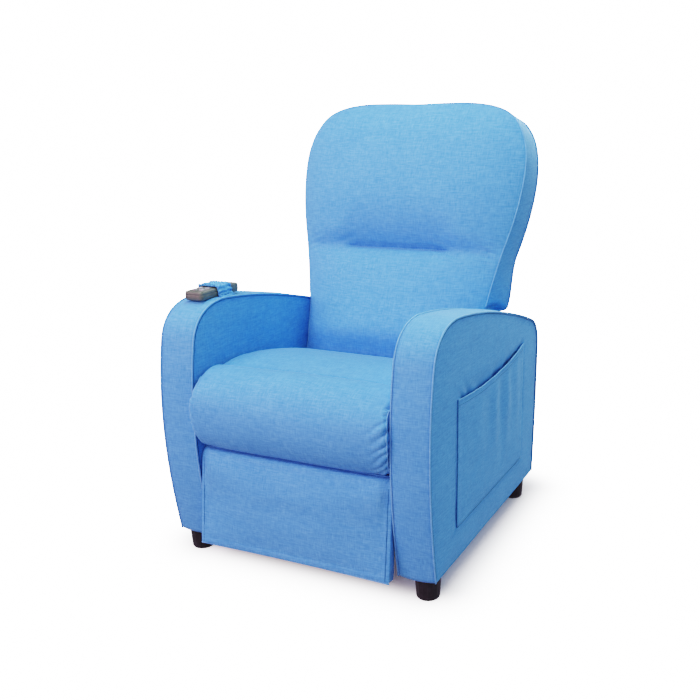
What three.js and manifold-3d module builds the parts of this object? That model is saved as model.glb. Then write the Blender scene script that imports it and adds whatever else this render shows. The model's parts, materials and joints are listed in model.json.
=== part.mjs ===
// Powered patient recliner: padded arms, reclining back and a folding footrest.
// Millimetres, +Z up. The seat faces -Y and +X is the side with the magazine pocket.
// The origin is on the floor, under the centre of the chair.
import * as THREE from 'three';
import { mergeVertices } from 'three/addons/utils/BufferGeometryUtils.js';
import Module from 'manifold-3d';

const wasm = await Module();
wasm.setup();

// ---- Driving dimensions ----
const GAP = 0.3;              // clearance between pieces that touch
const ROUND = 16;             // sides of a turned piece
const CURVE = 9;              // segments of a curve in an outline
const ARC = 4;                // segments of a quarter of a small round end
const WIDTH = 690;
const ARM_THICKNESS = 90.5;
const ARM_OUTER = WIDTH / 2;
const ARM_INNER = ARM_OUTER - ARM_THICKNESS;
const ARM_BOTTOM = 56;        // height of the arms above the floor
const CUSHION_HALF = 250;     // half width of the seat, the roll and the footrest

// Seat
const SEAT_FRONT = -303;      // seam between the seat and its front roll
const SEAT_REAR = 84;
const SEAT_FRAME_BOTTOM = 296;
const SEAT_FRAME_TOP = 346;
const SEAT_FRAME_HALF = 245;
const SEAT_RAIL = 40;         // width of the seat frame's timber

// Backrest
const LEAN = THREE.MathUtils.degToRad(18.5);
const BACK_SEAM = [104.7, 440];        // y and z of the seam plane's lowest front point
const BACK_DEPTH = 115;                // side band, front seam to rear seam
const BACK_HEIGHT = 664;               // top of the back, measured up its seam plane
const BACK_FLAT = 110;                 // half width of its flat top
const BACK_CROWN = 42;                 // front pad, forward of the seam
const PAD_INSET = 14;                  // front pad, inside the seam
const LUMBAR_TOP = 264;                // the pad's lower part swells forward below this height
const LUMBAR_SWELL = 46;               // how far it swells at the bottom
const BACK_PIVOT = [170, 335];
const BACK_CRANK = 120;                // crank radius
const BACK_RECLINE = THREE.MathUtils.degToRad(38);

// Footrest panel, leaning forward at its foot
const PANEL_TOP = [-393, 291];
const PANEL_FOOT = [-423, 57];
const PAD_THICKNESS = 34;
const BOARD_THICKNESS = 15;

// Footrest linkage: two parallelograms in series, as y and z of each pivot at rest
const DRIVE = [-290, 272];             // drive link on the side plate
const KNEE = [-252, 80.4];             // upper link on the drive link
const HEAD = [-335, 228];              // footrest bracket on the upper link
const GROUND_STEP = [28, -15.4];       // control lever, measured from the drive link
const BRACKET_STEP = [8.3, 47.3];      // lower link, measured from the upper link
const CONTROL = add(DRIVE, GROUND_STEP);
const CONTROL_END = add(KNEE, GROUND_STEP);
const LOWER = add(KNEE, BRACKET_STEP);
const LOWER_END = add(HEAD, BRACKET_STEP);
const FOOT_CRANK = 70;
const FOOT_SWING = THREE.MathUtils.degToRad(80);

const PLATE = 4;              // link thickness
const LAYER_PITCH = 5;        // link to link, side by side
const LAYER_1 = 243;          // inner face of the outermost link
const LAYER_2 = LAYER_1 - LAYER_PITCH;
const LAYER_3 = LAYER_2 - LAYER_PITCH;
const SIDE_PLATE = [248.5, 253.5];
const LINK_HALF = 10;
const EYE = 11;               // radius of a link's rounded end
const STUD = 5;               // radius of a pivot stud
const STUD_CLEARANCE = 0.4;

// Actuators
const FOOT_ACTUATOR_X = -70;
const BACK_ACTUATOR_X = 70;
const TUBE_OUTER = 15;
const TUBE_BORE = 10.5;
const ROD = 9;
const CROSS_TUBE = 29.8;      // square section
const CROSS_TUBE_TOP = 194.8;
const CROSS_TUBES_Y = [-150, 90];

// Handset on the left arm
const HANDSET = { x: -298, y: -243, width: 52, length: 150, height: 21, bottom: 625 };
const BUTTON = { radius: 6, recess: 4, proud: 2 };

// ---- Materials ----
function finish(color, roughness, metalness = 0) {
  return new THREE.MeshStandardMaterial({ color, roughness, metalness });
}
const FABRIC = finish(0x4a90d0, 0.85);
const TIMBER = finish(0xc9a878, 0.7);
const STEEL = finish(0x3a3c40, 0.5, 0.7);
const ZINC = finish(0xb4b8bd, 0.35, 0.9);
const WIRE = finish(0x6c7076, 0.4, 0.9);
const BLACK = finish(0x1b1c1e, 0.6);
const HANDSET_GREY = finish(0x3c4048, 0.5);
const KEY_GREY = finish(0x9aa0a8, 0.5);

// ---- Helpers ----
function add(a, b) {
  return [a[0] + b[0], a[1] + b[1]];
}

function toSolid(geometry) {
  const bare = geometry.clone();
  bare.deleteAttribute('normal');
  bare.deleteAttribute('uv');
  const merged = mergeVertices(bare, 1e-4);
  return new wasm.Manifold(new wasm.Mesh({
    numProp: 3,
    vertProperties: new Float32Array(merged.attributes.position.array),
    triVerts: new Uint32Array(merged.index.array),
  }));
}

function toGeometry(solid) {
  const mesh = solid.getMesh();
  const geometry = new THREE.BufferGeometry();
  geometry.setAttribute('position', new THREE.BufferAttribute(mesh.vertProperties, 3));
  geometry.setIndex(new THREE.BufferAttribute(mesh.triVerts, 1));
  return geometry;
}

function join(...pieces) {
  return toGeometry(pieces.map(toSolid).reduce((whole, piece) => whole.add(piece)));
}

function cut(body, ...tools) {
  return toGeometry(tools.map(toSolid).reduce((whole, tool) => whole.subtract(tool), toSolid(body)));
}

// A box between two corners.
function block(x, y, z) {
  const geometry = new THREE.BoxGeometry(x[1] - x[0], y[1] - y[0], z[1] - z[0]);
  return geometry.translate((x[0] + x[1]) / 2, (y[0] + y[1]) / 2, (z[0] + z[1]) / 2);
}

function outline(points) {
  return new THREE.Shape(points.map(([u, v]) => new THREE.Vector2(u, v)));
}

// Extrudes a shape drawn in (y, z) across the chair, on side +1 or -1 of its centre plane.
function across(shape, inner, outer, side = 1, curveSegments = CURVE) {
  const low = side > 0 ? inner : -outer;
  const geometry = new THREE.ExtrudeGeometry(shape, {
    depth: outer - inner, bevelEnabled: false, curveSegments,
  });
  const toChair = new THREE.Matrix4().makeBasis(
    new THREE.Vector3(0, 1, 0), new THREE.Vector3(0, 0, 1), new THREE.Vector3(1, 0, 0),
  );
  return geometry.applyMatrix4(toChair).translate(low, 0, 0);
}

// A cylinder lying across the chair.
function barAcross(point, radius, inner, outer, side = 1, sides = ROUND) {
  const geometry = new THREE.CylinderGeometry(radius, radius, outer - inner, sides);
  geometry.rotateZ(Math.PI / 2);
  return geometry.translate(side * (inner + outer) / 2, point[0], point[1]);
}

// A cylinder lying along the chair, from front to back.
function barAlong(x, z, radius, y) {
  const geometry = new THREE.CylinderGeometry(radius, radius, y[1] - y[0], ROUND);
  return geometry.translate(x, (y[0] + y[1]) / 2, z);
}

// A flat bar with round ends between two pivots.
function strap(from, to, halfWidth, inner, outer, side) {
  const angle = Math.atan2(to[1] - from[1], to[0] - from[0]);
  const shape = new THREE.Shape();
  shape.absarc(to[0], to[1], halfWidth, angle - Math.PI / 2, angle + Math.PI / 2);
  shape.absarc(from[0], from[1], halfWidth, angle + Math.PI / 2, angle + 1.5 * Math.PI);
  return across(shape, inner, outer, side, ARC);
}

const chair = new THREE.Group();

function piece(name, geometry, material, parent = chair) {
  const mesh = new THREE.Mesh(geometry, material);
  mesh.name = name;
  parent.add(mesh);
  return mesh;
}

const SIDES = [['left', -1], ['right', 1]];

// ---- Arms ----
// Side view of an arm, drawn 'inset' inside its fabric. The front bows forward.
function armShape(inset, bottom) {
  const shape = new THREE.Shape();
  shape.moveTo(-373 + inset, bottom);
  shape.quadraticCurveTo(-428 + inset, 330, -384 + inset, 535 - inset / 2);
  shape.bezierCurveTo(-374 + inset, 592 - inset, -330, 624 - inset, -255, 624 - inset);
  shape.quadraticCurveTo(-60, 612 - inset, 223 - inset, 531 - inset);
  shape.lineTo(285 - inset, 511 - inset);
  shape.quadraticCurveTo(347 - inset, 490 - inset, 347 - inset, 425 - inset);
  shape.quadraticCurveTo(348 - inset, 250, 328 - inset, bottom);
  return shape;
}

const ARM_WALL = 8;           // padding over the frame, on the arm's flat sides
const ARM_EDGE = 30;          // padding round the frame's edges
const FRAME_IN = ARM_INNER + ARM_WALL + GAP;
const FRAME_OUT = ARM_OUTER - ARM_WALL - 7.5;

function armUpholstery(side) {
  const body = across(armShape(0, ARM_BOTTOM), ARM_INNER, ARM_OUTER, side);
  const lining = armShape(ARM_EDGE, ARM_BOTTOM - 1);
  const hollow = across(lining, ARM_INNER + ARM_WALL, FRAME_OUT + GAP, side);
  return [body, hollow];
}

const ARM_BOARD = 15;         // plywood thickness
const ARM_POSTS = { front: [-340, -300], rear: [240, 280] };

// Plywood side panel with two posts and two rails glued to it.
function armFrame(side) {
  const low = ARM_BOTTOM + GAP;
  const boardIn = FRAME_OUT - ARM_BOARD;
  const railY = [ARM_POSTS.front[0] + 39, ARM_POSTS.rear[1] - 39];
  const xs = side > 0 ? [FRAME_IN, boardIn + 1] : [-boardIn - 1, -FRAME_IN];
  return join(
    across(armShape(ARM_EDGE + 1, low), boardIn, FRAME_OUT, side),
    block(xs, ARM_POSTS.front, [low, 500]),
    block(xs, ARM_POSTS.rear, [low, 430]),
    block(xs, railY, [low, low + 40]),
    block(xs, railY, [390, 430]),
  );
}

// Magazine pocket: a recess in the right arm's outer face, closed by a panel that is open on top.
const POCKET = {
  front: -262, rear: 205, bottom: 140, recess: 470, depth: 14, panel: 2.5, mouthFront: 442, mouthRear: 463,
};

function pocketPanel() {
  const shape = new THREE.Shape();
  shape.moveTo(POCKET.front + GAP, POCKET.bottom + GAP);
  shape.lineTo(POCKET.front + GAP, POCKET.mouthFront);
  shape.quadraticCurveTo(0, POCKET.mouthFront - 18, POCKET.rear - GAP, POCKET.mouthRear);
  shape.lineTo(POCKET.rear - GAP, POCKET.bottom + GAP);
  return across(shape, ARM_OUTER - POCKET.panel, ARM_OUTER);
}

const pocketRecess = block(
  [ARM_OUTER - POCKET.depth, ARM_OUTER + 1],
  [POCKET.front, POCKET.rear],
  [POCKET.bottom, POCKET.recess],
);

for (const [name, side] of SIDES) {
  const [body, hollow] = armUpholstery(side);
  const tools = side > 0 ? [hollow, pocketRecess] : [hollow];
  piece(`arm_upholstery_${name}`, cut(body, ...tools), FABRIC);
  piece(`arm_frame_${name}`, armFrame(side), TIMBER);
}
piece('side_pocket_panel', pocketPanel(), FABRIC);

// ---- Feet ----
const FOOT_RADIUS = 30;
const FOOT_X = 311;
const FEET_Y = { front: -338, rear: 262 };

function foot() {
  const top = ARM_BOTTOM - GAP;
  const profile = [
    [0, 0], [FOOT_RADIUS - 5, 0], [FOOT_RADIUS - 3, 3],
    [FOOT_RADIUS, top - 6], [FOOT_RADIUS, top], [0, top],
  ].map(([r, z]) => new THREE.Vector2(r, z));
  return new THREE.LatheGeometry(profile, ROUND).rotateX(Math.PI / 2);
}

for (const [name, side] of SIDES) {
  for (const [end, y] of Object.entries(FEET_Y)) {
    piece(`foot_${end}_${name}`, foot(), BLACK).position.set(side * FOOT_X, y, 0);
  }
}

// ---- Side plates and cross tubes ----
function sidePlate(side) {
  const shape = outline([
    [-312, 235], [-312, 295.4], [140, 295.4], [150, 362], [190, 362],
    [200, 340], [200, 160], [-200, 160], [-200, 235],
  ]);
  const plate = across(shape, SIDE_PLATE[0], SIDE_PLATE[1], side);
  const holes = [DRIVE, BACK_PIVOT].map(
    (point) => barAcross(point, 13, SIDE_PLATE[0] - 1, SIDE_PLATE[1] + 1, side),
  );
  const stud = barAcross(CONTROL, STUD, LAYER_3 - 1, SIDE_PLATE[0] + 1, side);
  return join(cut(plate, ...holes), stud);
}

for (const [name, side] of SIDES) {
  piece(`side_plate_${name}`, sidePlate(side), STEEL);
}

['front', 'rear'].forEach((end, i) => {
  const half = CROSS_TUBE / 2;
  const y = [CROSS_TUBES_Y[i] - half, CROSS_TUBES_Y[i] + half];
  const z = [CROSS_TUBE_TOP - CROSS_TUBE, CROSS_TUBE_TOP];
  const reach = SIDE_PLATE[0] - GAP;
  const bore = block(
    [-reach - 1, reach + 1], [y[0] + 2.5, y[1] - 2.5], [z[0] + 2.5, z[1] - 2.5],
  );
  piece(`cross_tube_${end}`, cut(block([-reach, reach], y, z), bore), STEEL);
});

// ---- Rear of the base ----
const INLET = { x: 150, z: 110, width: 32, height: 24 };
const REAR_HALF = ARM_INNER - 0.8;
const REAR_PANEL_Y = [306, 322];
const REAR_PANEL_Z = [60, 385];
const STRETCHER = { y: [287, 305.5], z: [150, 240] };
const CONTROL_BOX = { x: [20, 200], y: [217, 286.6], z: [156, 196] };

piece('rear_stretcher', block([-REAR_HALF, REAR_HALF], STRETCHER.y, STRETCHER.z), TIMBER);

const inletHole = block(
  [INLET.x - INLET.width / 2 - GAP, INLET.x + INLET.width / 2 + GAP],
  [REAR_PANEL_Y[0] - 1, REAR_PANEL_Y[1] + 1],
  [INLET.z - INLET.height / 2 - GAP, INLET.z + INLET.height / 2 + GAP],
);
piece('rear_panel', cut(block([-REAR_HALF, REAR_HALF], REAR_PANEL_Y, REAR_PANEL_Z), inletHole), FABRIC);

// Mains inlet: a shroud with a socket recess and a flange behind the rear panel.
function powerInlet() {
  const x = [INLET.x - INLET.width / 2, INLET.x + INLET.width / 2];
  const z = [INLET.z - INLET.height / 2, INLET.z + INLET.height / 2];
  const flange = block([x[0] - 8, x[1] + 8], [322.3, 325], [z[0] - 4, z[1] + 4]);
  const socket = block([x[0] + 4, x[1] - 4], [310, 330], [z[0] + 4, z[1] - 4]);
  const pins = [-6, 0, 6].map((dx) => block(
    [INLET.x + dx - 1, INLET.x + dx + 1], [305, 320], [INLET.z - 3, INLET.z + 3],
  ));
  return join(cut(join(block(x, [300, 324], z), flange), socket), ...pins);
}
piece('power_inlet', powerInlet(), BLACK);
piece('control_box', block(CONTROL_BOX.x, CONTROL_BOX.y, CONTROL_BOX.z), BLACK);

// ---- Seat frame, springs and cushions ----
for (const [name, side] of SIDES) {
  const x = [SEAT_FRAME_HALF - SEAT_RAIL, SEAT_FRAME_HALF].map((value) => side * value);
  x.sort((a, b) => a - b);
  piece(
    `seat_side_rail_${name}`,
    block(x, [SEAT_FRONT, SEAT_REAR], [SEAT_FRAME_BOTTOM, SEAT_FRAME_TOP]),
    TIMBER,
  );
}
const railReach = SEAT_FRAME_HALF - SEAT_RAIL - GAP;
const seatRails = {
  front: [SEAT_FRONT, SEAT_FRONT + SEAT_RAIL],
  rear: [SEAT_REAR - SEAT_RAIL, SEAT_REAR],
};
for (const [name, y] of Object.entries(seatRails)) {
  piece(
    `seat_${name}_rail`,
    block([-railReach, railReach], y, [SEAT_FRAME_BOTTOM, SEAT_FRAME_TOP]),
    TIMBER,
  );
}

// Zigzag springs from front to rear, tied by a cross wire at each end.
const SPRING = { radius: 2.2, z: 349, wave: 22, waves: 5, spacing: 85, count: 5 };

function springMat() {
  const front = SEAT_FRONT + 12;
  const rear = SEAT_REAR - 12;
  const section = new THREE.Shape().absarc(0, 0, SPRING.radius, 0, 2 * Math.PI);
  const steps = SPRING.waves * 4;
  const wires = [];
  for (let i = 0; i < SPRING.count; i += 1) {
    const x = (i - (SPRING.count - 1) / 2) * SPRING.spacing;
    const points = [];
    for (let k = 0; k <= steps; k += 1) {
      const along = k / steps;
      const sway = SPRING.wave * Math.sin(2 * Math.PI * SPRING.waves * along);
      points.push(new THREE.Vector3(x + sway, front + along * (rear - front), SPRING.z));
    }
    const path = new THREE.CatmullRomCurve3(points);
    wires.push(new THREE.ExtrudeGeometry(section, { steps, extrudePath: path, curveSegments: 3 }));
  }
  const reach = 2 * SPRING.spacing + 50;
  const ties = [front, rear].map((y) => barAcross([y, SPRING.z], SPRING.radius, -reach, reach, 1, 6));
  return join(...wires, ...ties);
}
piece('seat_spring_mat', springMat(), WIRE);

function seatCushion() {
  const bottom = 356;
  const shape = new THREE.Shape();
  shape.moveTo(SEAT_FRONT, bottom);
  shape.lineTo(SEAT_FRONT, 474);
  shape.quadraticCurveTo(-150, 492, 64, 446);
  shape.lineTo(SEAT_REAR, 438);
  shape.lineTo(SEAT_REAR, bottom);
  return across(shape, -CUSHION_HALF, CUSHION_HALF);
}
piece('seat_cushion', seatCushion(), FABRIC);

// Padded front roll: it stands on the footrest panel's top edge and hides the seat frame.
function seatRoll() {
  const back = SEAT_FRONT - 1;
  const shape = new THREE.Shape();
  shape.moveTo(back, 298);
  shape.lineTo(back, 476);
  shape.quadraticCurveTo(-352, 484, -388, 457);
  shape.quadraticCurveTo(-424, 430, -424, 388);
  shape.quadraticCurveTo(-424, 338, -396, 304);
  shape.quadraticCurveTo(-388, 298, -376, 298);
  return across(shape, -CUSHION_HALF, CUSHION_HALF);
}
piece('seat_front_roll', seatRoll(), FABRIC);

// ---- Backrest ----
const back = new THREE.Group();
back.position.set(0, BACK_SEAM[0], BACK_SEAM[1]);
back.rotation.x = -LEAN;
chair.add(back);

// Front view of the back, 'inset' inside its seam. It widens above the arms and has round shoulders.
// Each curve of its right side is a control point and an end point, from the bottom up.
function backShape(inset, bottom) {
  const start = [250 - inset, bottom];
  const curves = [
    [[252 - inset, 60], [264 - inset, 142]],
    [[276 - inset, 220], [293 - inset, 290]],
    [[323 - inset, 400], [323 - inset, 490]],
    [[323 - inset, 560], [272 - inset, 612 - inset / 2]],
    [[220 - inset, 662 - inset], [BACK_FLAT, BACK_HEIGHT - inset]],
  ];
  const ends = [start, ...curves.map(([, end]) => end)];
  const shape = new THREE.Shape();
  shape.moveTo(-start[0], bottom);
  shape.lineTo(...start);
  for (const [control, end] of curves) {
    shape.quadraticCurveTo(...control, ...end);
  }
  shape.lineTo(-BACK_FLAT, BACK_HEIGHT - inset);
  for (let i = curves.length - 1; i >= 0; i -= 1) {
    const [control] = curves[i];
    shape.quadraticCurveTo(-control[0], control[1], -ends[i][0], ends[i][1]);
  }
  return shape;
}

// Extrudes a front-view shape through the back's thickness, y measured rearwards from its seam.
function throughBack(shape, y) {
  const geometry = new THREE.ExtrudeGeometry(shape, {
    depth: y[1] - y[0], bevelEnabled: false, curveSegments: CURVE,
  });
  return geometry.rotateX(Math.PI / 2).translate(0, y[1], 0);
}

const FRAME_SLOT = [28, 62];  // where the back frame sits, behind the seam plane
const COVER_BOTTOM = -40;

// What is taken off each side of the cover, so that it passes between the arms and over their tops.
function armRelief(side) {
  const shape = outline([
    [-1, COVER_BOTTOM - 1], [-1, 124], [BACK_DEPTH + 1, 160], [BACK_DEPTH + 1, COVER_BOTTOM - 1],
  ]);
  return across(shape, 250, ARM_OUTER, side);
}

piece(
  'back_cover',
  cut(
    throughBack(backShape(0, COVER_BOTTOM), [0, BACK_DEPTH]),
    throughBack(backShape(22, COVER_BOTTOM - 1), FRAME_SLOT),
    armRelief(1),
    armRelief(-1),
  ),
  FABRIC,
  back,
);

// Front pad: a flat pad with a wedge on its lower part, thickest just above the seat.
function backCushion() {
  const pad = throughBack(backShape(PAD_INSET, 0), [-BACK_CROWN, -GAP]);
  const reach = CUSHION_HALF - PAD_INSET;
  const wedge = across(
    outline([
      [-BACK_CROWN + 1, LUMBAR_TOP], [-BACK_CROWN, LUMBAR_TOP], [-BACK_CROWN - LUMBAR_SWELL, 30],
      [-BACK_CROWN - LUMBAR_SWELL + 14, 0], [-BACK_CROWN + 1, 0],
    ]),
    -reach, reach,
  );
  return join(pad, wedge);
}
piece('back_cushion', backCushion(), FABRIC, back);

const frameY = [FRAME_SLOT[0] + 1, FRAME_SLOT[1] - 1];
const UPRIGHT = [182, 222];   // inner and outer faces of the back frame's uprights
const UPRIGHT_ENDS = [-38, 560];
for (const [name, side] of SIDES) {
  const x = UPRIGHT.map((value) => side * value).sort((a, b) => a - b);
  piece(`back_upright_${name}`, block(x, frameY, UPRIGHT_ENDS), TIMBER, back);
}
const backRails = { lower: [-30, 10], lumbar: [250, 290], top: [510, 560] };
for (const [name, z] of Object.entries(backRails)) {
  const reach = UPRIGHT[0] - GAP;
  piece(`back_${name}_rail`, block([-reach, reach], frameY, z), TIMBER, back);
}

// A point of the chair's side view, in the back's own leaning frame.
function toBack([y, z]) {
  const dy = y - BACK_SEAM[0];
  const dz = z - BACK_SEAM[1];
  return [dy * Math.cos(LEAN) - dz * Math.sin(LEAN), dy * Math.sin(LEAN) + dz * Math.cos(LEAN)];
}

// Steel bracket: up inside the cover beside each upright, and back to the pivot tube below it.
function backBracket(side) {
  const inner = UPRIGHT[1] + GAP;
  const outer = inner + PLATE;
  const pivot = toBack(BACK_PIVOT);
  const heel = [(frameY[0] + frameY[1]) / 2, COVER_BOTTOM - 18];
  const plate = join(
    strap(pivot, heel, 14, inner, outer, side),
    strap(heel, [heel[0], 130], 14, inner, outer, side),
    barAcross(pivot, 22, inner, outer, side),
  );
  return cut(plate, barAcross(pivot, 12.3, inner - 1, outer + 1, side));
}
for (const [name, side] of SIDES) {
  piece(`back_bracket_${name}`, backBracket(side), STEEL, back);
}

// A pivot tube with a pair of crank plates and the crank pin between them.
function crankTube(pivot, reach, x, pin) {
  const plates = [x - 13, x + 9].map((low) => strap(pivot, pin, 13, low, low + PLATE, 1));
  return join(
    barAcross(pivot, 12, -reach, reach),
    ...plates,
    barAcross(pin, STUD, x - 13, x + 13),
  );
}

// Where a crank stands when it hangs 'angle' rearward of straight down.
function crankPin(pivot, radius, angle) {
  return add(pivot, [radius * Math.sin(angle), -radius * Math.cos(angle)]);
}

const tubeReach = SIDE_PLATE[1] - 1;
const backPin = crankPin(BACK_PIVOT, BACK_CRANK, BACK_RECLINE / 2);
const footPin = crankPin(DRIVE, FOOT_CRANK, FOOT_SWING / 2);
piece('back_pivot_tube', crankTube(BACK_PIVOT, tubeReach, BACK_ACTUATOR_X, backPin), STEEL);
piece('footrest_drive_tube', crankTube(DRIVE, tubeReach, FOOT_ACTUATOR_X, footPin), STEEL);

// ---- Footrest linkage ----
function link(side, layer, straps, holes, studs) {
  const bars = straps.map(([from, to]) => strap(from, to, LINK_HALF, layer, layer + PLATE, side));
  const eyes = straps.flat().map((point) => barAcross(point, EYE, layer, layer + PLATE, side));
  const plate = holes.length ? cut(join(...bars, ...eyes), ...holes.map(
    ([point, radius]) => barAcross(point, radius, layer - 1, layer + PLATE + 1, side),
  )) : join(...bars, ...eyes);
  const reach = LAYER_PITCH + 1;
  return studs.length
    ? join(plate, ...studs.map((point) => barAcross(point, STUD, layer - reach, layer + 1, side)))
    : plate;
}

const STUD_HOLE = STUD + STUD_CLEARANCE;

function driveLink(side) {
  const plain = link(side, LAYER_1, [[DRIVE, KNEE], [KNEE, LOWER]], [], [KNEE, LOWER]);
  const boss = barAcross(DRIVE, 18, LAYER_1, LAYER_1 + PLATE, side);
  return cut(join(plain, boss), barAcross(DRIVE, 12.3, LAYER_1 - 1, LAYER_1 + PLATE + 1, side));
}

// Bracket on the back of the footrest board, with its screw flange.
const panelLean = Math.atan2(PANEL_TOP[0] - PANEL_FOOT[0], PANEL_TOP[1] - PANEL_FOOT[1]);

function panelPoint(depth, z) {
  const along = (z - PANEL_TOP[1]) * Math.tan(panelLean);
  return [PANEL_TOP[0] + along + depth / Math.cos(panelLean), z];
}

const boardBack = PAD_THICKNESS + 1 + BOARD_THICKNESS + 0.5;

function footrestBracket(side) {
  const flange = across(
    outline([
      panelPoint(boardBack, 190), panelPoint(boardBack, 284),
      panelPoint(boardBack + 3, 284), panelPoint(boardBack + 3, 190),
    ]),
    LAYER_3 - 24, LAYER_3 + PLATE, side,
  );
  const web = across(
    outline([panelPoint(boardBack, 205), panelPoint(boardBack, 284), LOWER_END, HEAD]),
    LAYER_3, LAYER_3 + PLATE, side,
  );
  const eyes = [HEAD, LOWER_END].map((point) => barAcross(point, EYE, LAYER_3, LAYER_3 + PLATE, side));
  const holes = [HEAD, LOWER_END].map(
    (point) => barAcross(point, STUD_HOLE, LAYER_3 - 1, LAYER_3 + PLATE + 1, side),
  );
  return cut(join(flange, web, ...eyes), ...holes);
}

for (const [name, side] of SIDES) {
  piece(`drive_link_${name}`, driveLink(side), ZINC);
  piece(
    `upper_link_${name}`,
    link(side, LAYER_2, [[KNEE, HEAD], [KNEE, CONTROL_END]], [[KNEE, STUD_HOLE]], [HEAD, CONTROL_END]),
    ZINC,
  );
  piece(
    `lower_link_${name}`,
    link(side, LAYER_2, [[LOWER, LOWER_END]], [[LOWER, STUD_HOLE]], [LOWER_END]),
    ZINC,
  );
  piece(
    `control_lever_${name}`,
    link(side, LAYER_3, [[CONTROL, CONTROL_END]], [[CONTROL, STUD_HOLE], [CONTROL_END, STUD_HOLE]], []),
    ZINC,
  );
  piece(`footrest_bracket_${name}`, footrestBracket(side), STEEL);
}

function panelSlab(near, far, half, top, bottom) {
  return across(
    outline([panelPoint(near, bottom), panelPoint(near, top), panelPoint(far, top), panelPoint(far, bottom)]),
    -half, half,
  );
}
piece('footrest_pad', panelSlab(0, PAD_THICKNESS, CUSHION_HALF, PANEL_TOP[1], PANEL_FOOT[1]), FABRIC);
piece(
  'footrest_board',
  panelSlab(PAD_THICKNESS + 1, PAD_THICKNESS + 1 + BOARD_THICKNESS, CUSHION_HALF - 18, 285, 63),
  TIMBER,
);

// ---- Actuators ----
// The body: gearbox and outer tube on the cross tubes. 'toRod' is the way the rod comes out, +1 or -1.
function actuatorBody(x, z, tube, gearbox, bore) {
  const low = CROSS_TUBE_TOP + GAP;
  const saddle = block([x - 12, x + 12], [tube[0] + 5, tube[1] - 5], [low, z - TUBE_OUTER + 3]);
  const box = block([x - 22, x + 22], gearbox, [low + 0.2, z + 28]);
  return cut(join(barAlong(x, z, TUBE_OUTER, tube), box, saddle), barAlong(x, z, TUBE_BORE, bore));
}

// Rod with a slotted yoke, in which the crank pin slides up and down.
function actuatorRod(x, z, yokeY, rod, slot) {
  const yoke = block([x - 6, x + 6], [yokeY - 18, yokeY + 18], [z - slot[1] - 8, z + slot[1] + 8]);
  const window = block([x - 7, x + 7], [yokeY - slot[0], yokeY + slot[0]], [z - slot[1], z + slot[1]]);
  return cut(join(yoke, barAlong(x, z, ROD, rod)), window);
}

function crankHeight(pivot, radius, swing) {
  return pivot[1] - radius * (1 + Math.cos(swing / 2)) / 2;
}
const footRodZ = crankHeight(DRIVE, FOOT_CRANK, FOOT_SWING);
const backRodZ = crankHeight(BACK_PIVOT, BACK_CRANK, BACK_RECLINE);

const YOKE_FACE = 17;         // crank pin to where the rod meets its yoke
const MOTOR_RADIUS = 22;
const MOTOR_OFFSET = 45;      // motors lie beside the tubes
// Front-to-rear reach of each tube, gearbox, bore, rod and motor; a yoke's window is half y, half z.
const ACTUATORS = {
  foot: {
    x: FOOT_ACTUATOR_X, z: footRodZ, pin: footPin, tube: [-140, 50], gearbox: [45, 105],
    bore: [-141, 35],
    rod: [footPin[0] + YOKE_FACE, 15], window: [7.5, 14.5], motor: [-35, 105], motorSide: -1, motorLift: 8,
  },
  back: {
    x: BACK_ACTUATOR_X, z: backRodZ, pin: backPin, tube: [-125, 100], gearbox: [-170, -120],
    bore: [-115, 101],
    rod: [-30, backPin[0] - YOKE_FACE], window: [6.2, 9.5], motor: [-170, -30], motorSide: 1, motorLift: 0,
  },
};
for (const [name, a] of Object.entries(ACTUATORS)) {
  const motorX = a.x + a.motorSide * MOTOR_OFFSET;
  piece(`${name}_actuator_body`, actuatorBody(a.x, a.z, a.tube, a.gearbox, a.bore), BLACK);
  piece(`${name}_actuator_rod`, actuatorRod(a.x, a.z, a.pin[0], a.rod, a.window), ZINC);
  piece(`${name}_motor`, barAlong(motorX, a.z + a.motorLift, MOTOR_RADIUS, a.motor), STEEL);
}

// ---- Handset and its band ----
const keyTop = HANDSET.bottom + HANDSET.height;
const keyPlaces = [[-10, -52], [10, -52], [-10, -30], [10, -30]].map(
  ([dx, dy]) => [HANDSET.x + dx, HANDSET.y + dy],
);

function roundedSlab(width, length, radius) {
  const w = width / 2 - radius;
  const l = length / 2 - radius;
  const shape = new THREE.Shape();
  shape.absarc(w, l, radius, 0, Math.PI / 2);
  shape.absarc(-w, l, radius, Math.PI / 2, Math.PI);
  shape.absarc(-w, -l, radius, Math.PI, 1.5 * Math.PI);
  shape.absarc(w, -l, radius, 1.5 * Math.PI, 2 * Math.PI);
  return shape;
}

function keyCylinder(place, radius, low, high) {
  const geometry = new THREE.CylinderGeometry(radius, radius, high - low, 16).rotateX(Math.PI / 2);
  return geometry.translate(place[0], place[1], (low + high) / 2);
}

function handsetCase() {
  const body = new THREE.ExtrudeGeometry(roundedSlab(HANDSET.width, HANDSET.length, 10), {
    depth: HANDSET.height, bevelEnabled: false, curveSegments: ARC,
  }).translate(HANDSET.x, HANDSET.y, HANDSET.bottom);
  const recesses = keyPlaces.map(
    (place) => keyCylinder(place, BUTTON.radius + 0.5, keyTop - BUTTON.recess, keyTop + 1),
  );
  return cut(body, ...recesses);
}
piece('handset_case', handsetCase(), HANDSET_GREY);

['back_up', 'back_down', 'foot_up', 'foot_down'].forEach((name, i) => {
  const low = keyTop - BUTTON.recess + 1.4;
  const key = keyCylinder(keyPlaces[i], BUTTON.radius, low, keyTop + BUTTON.proud);
  piece(`button_${name}`, key, KEY_GREY);
});

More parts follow.
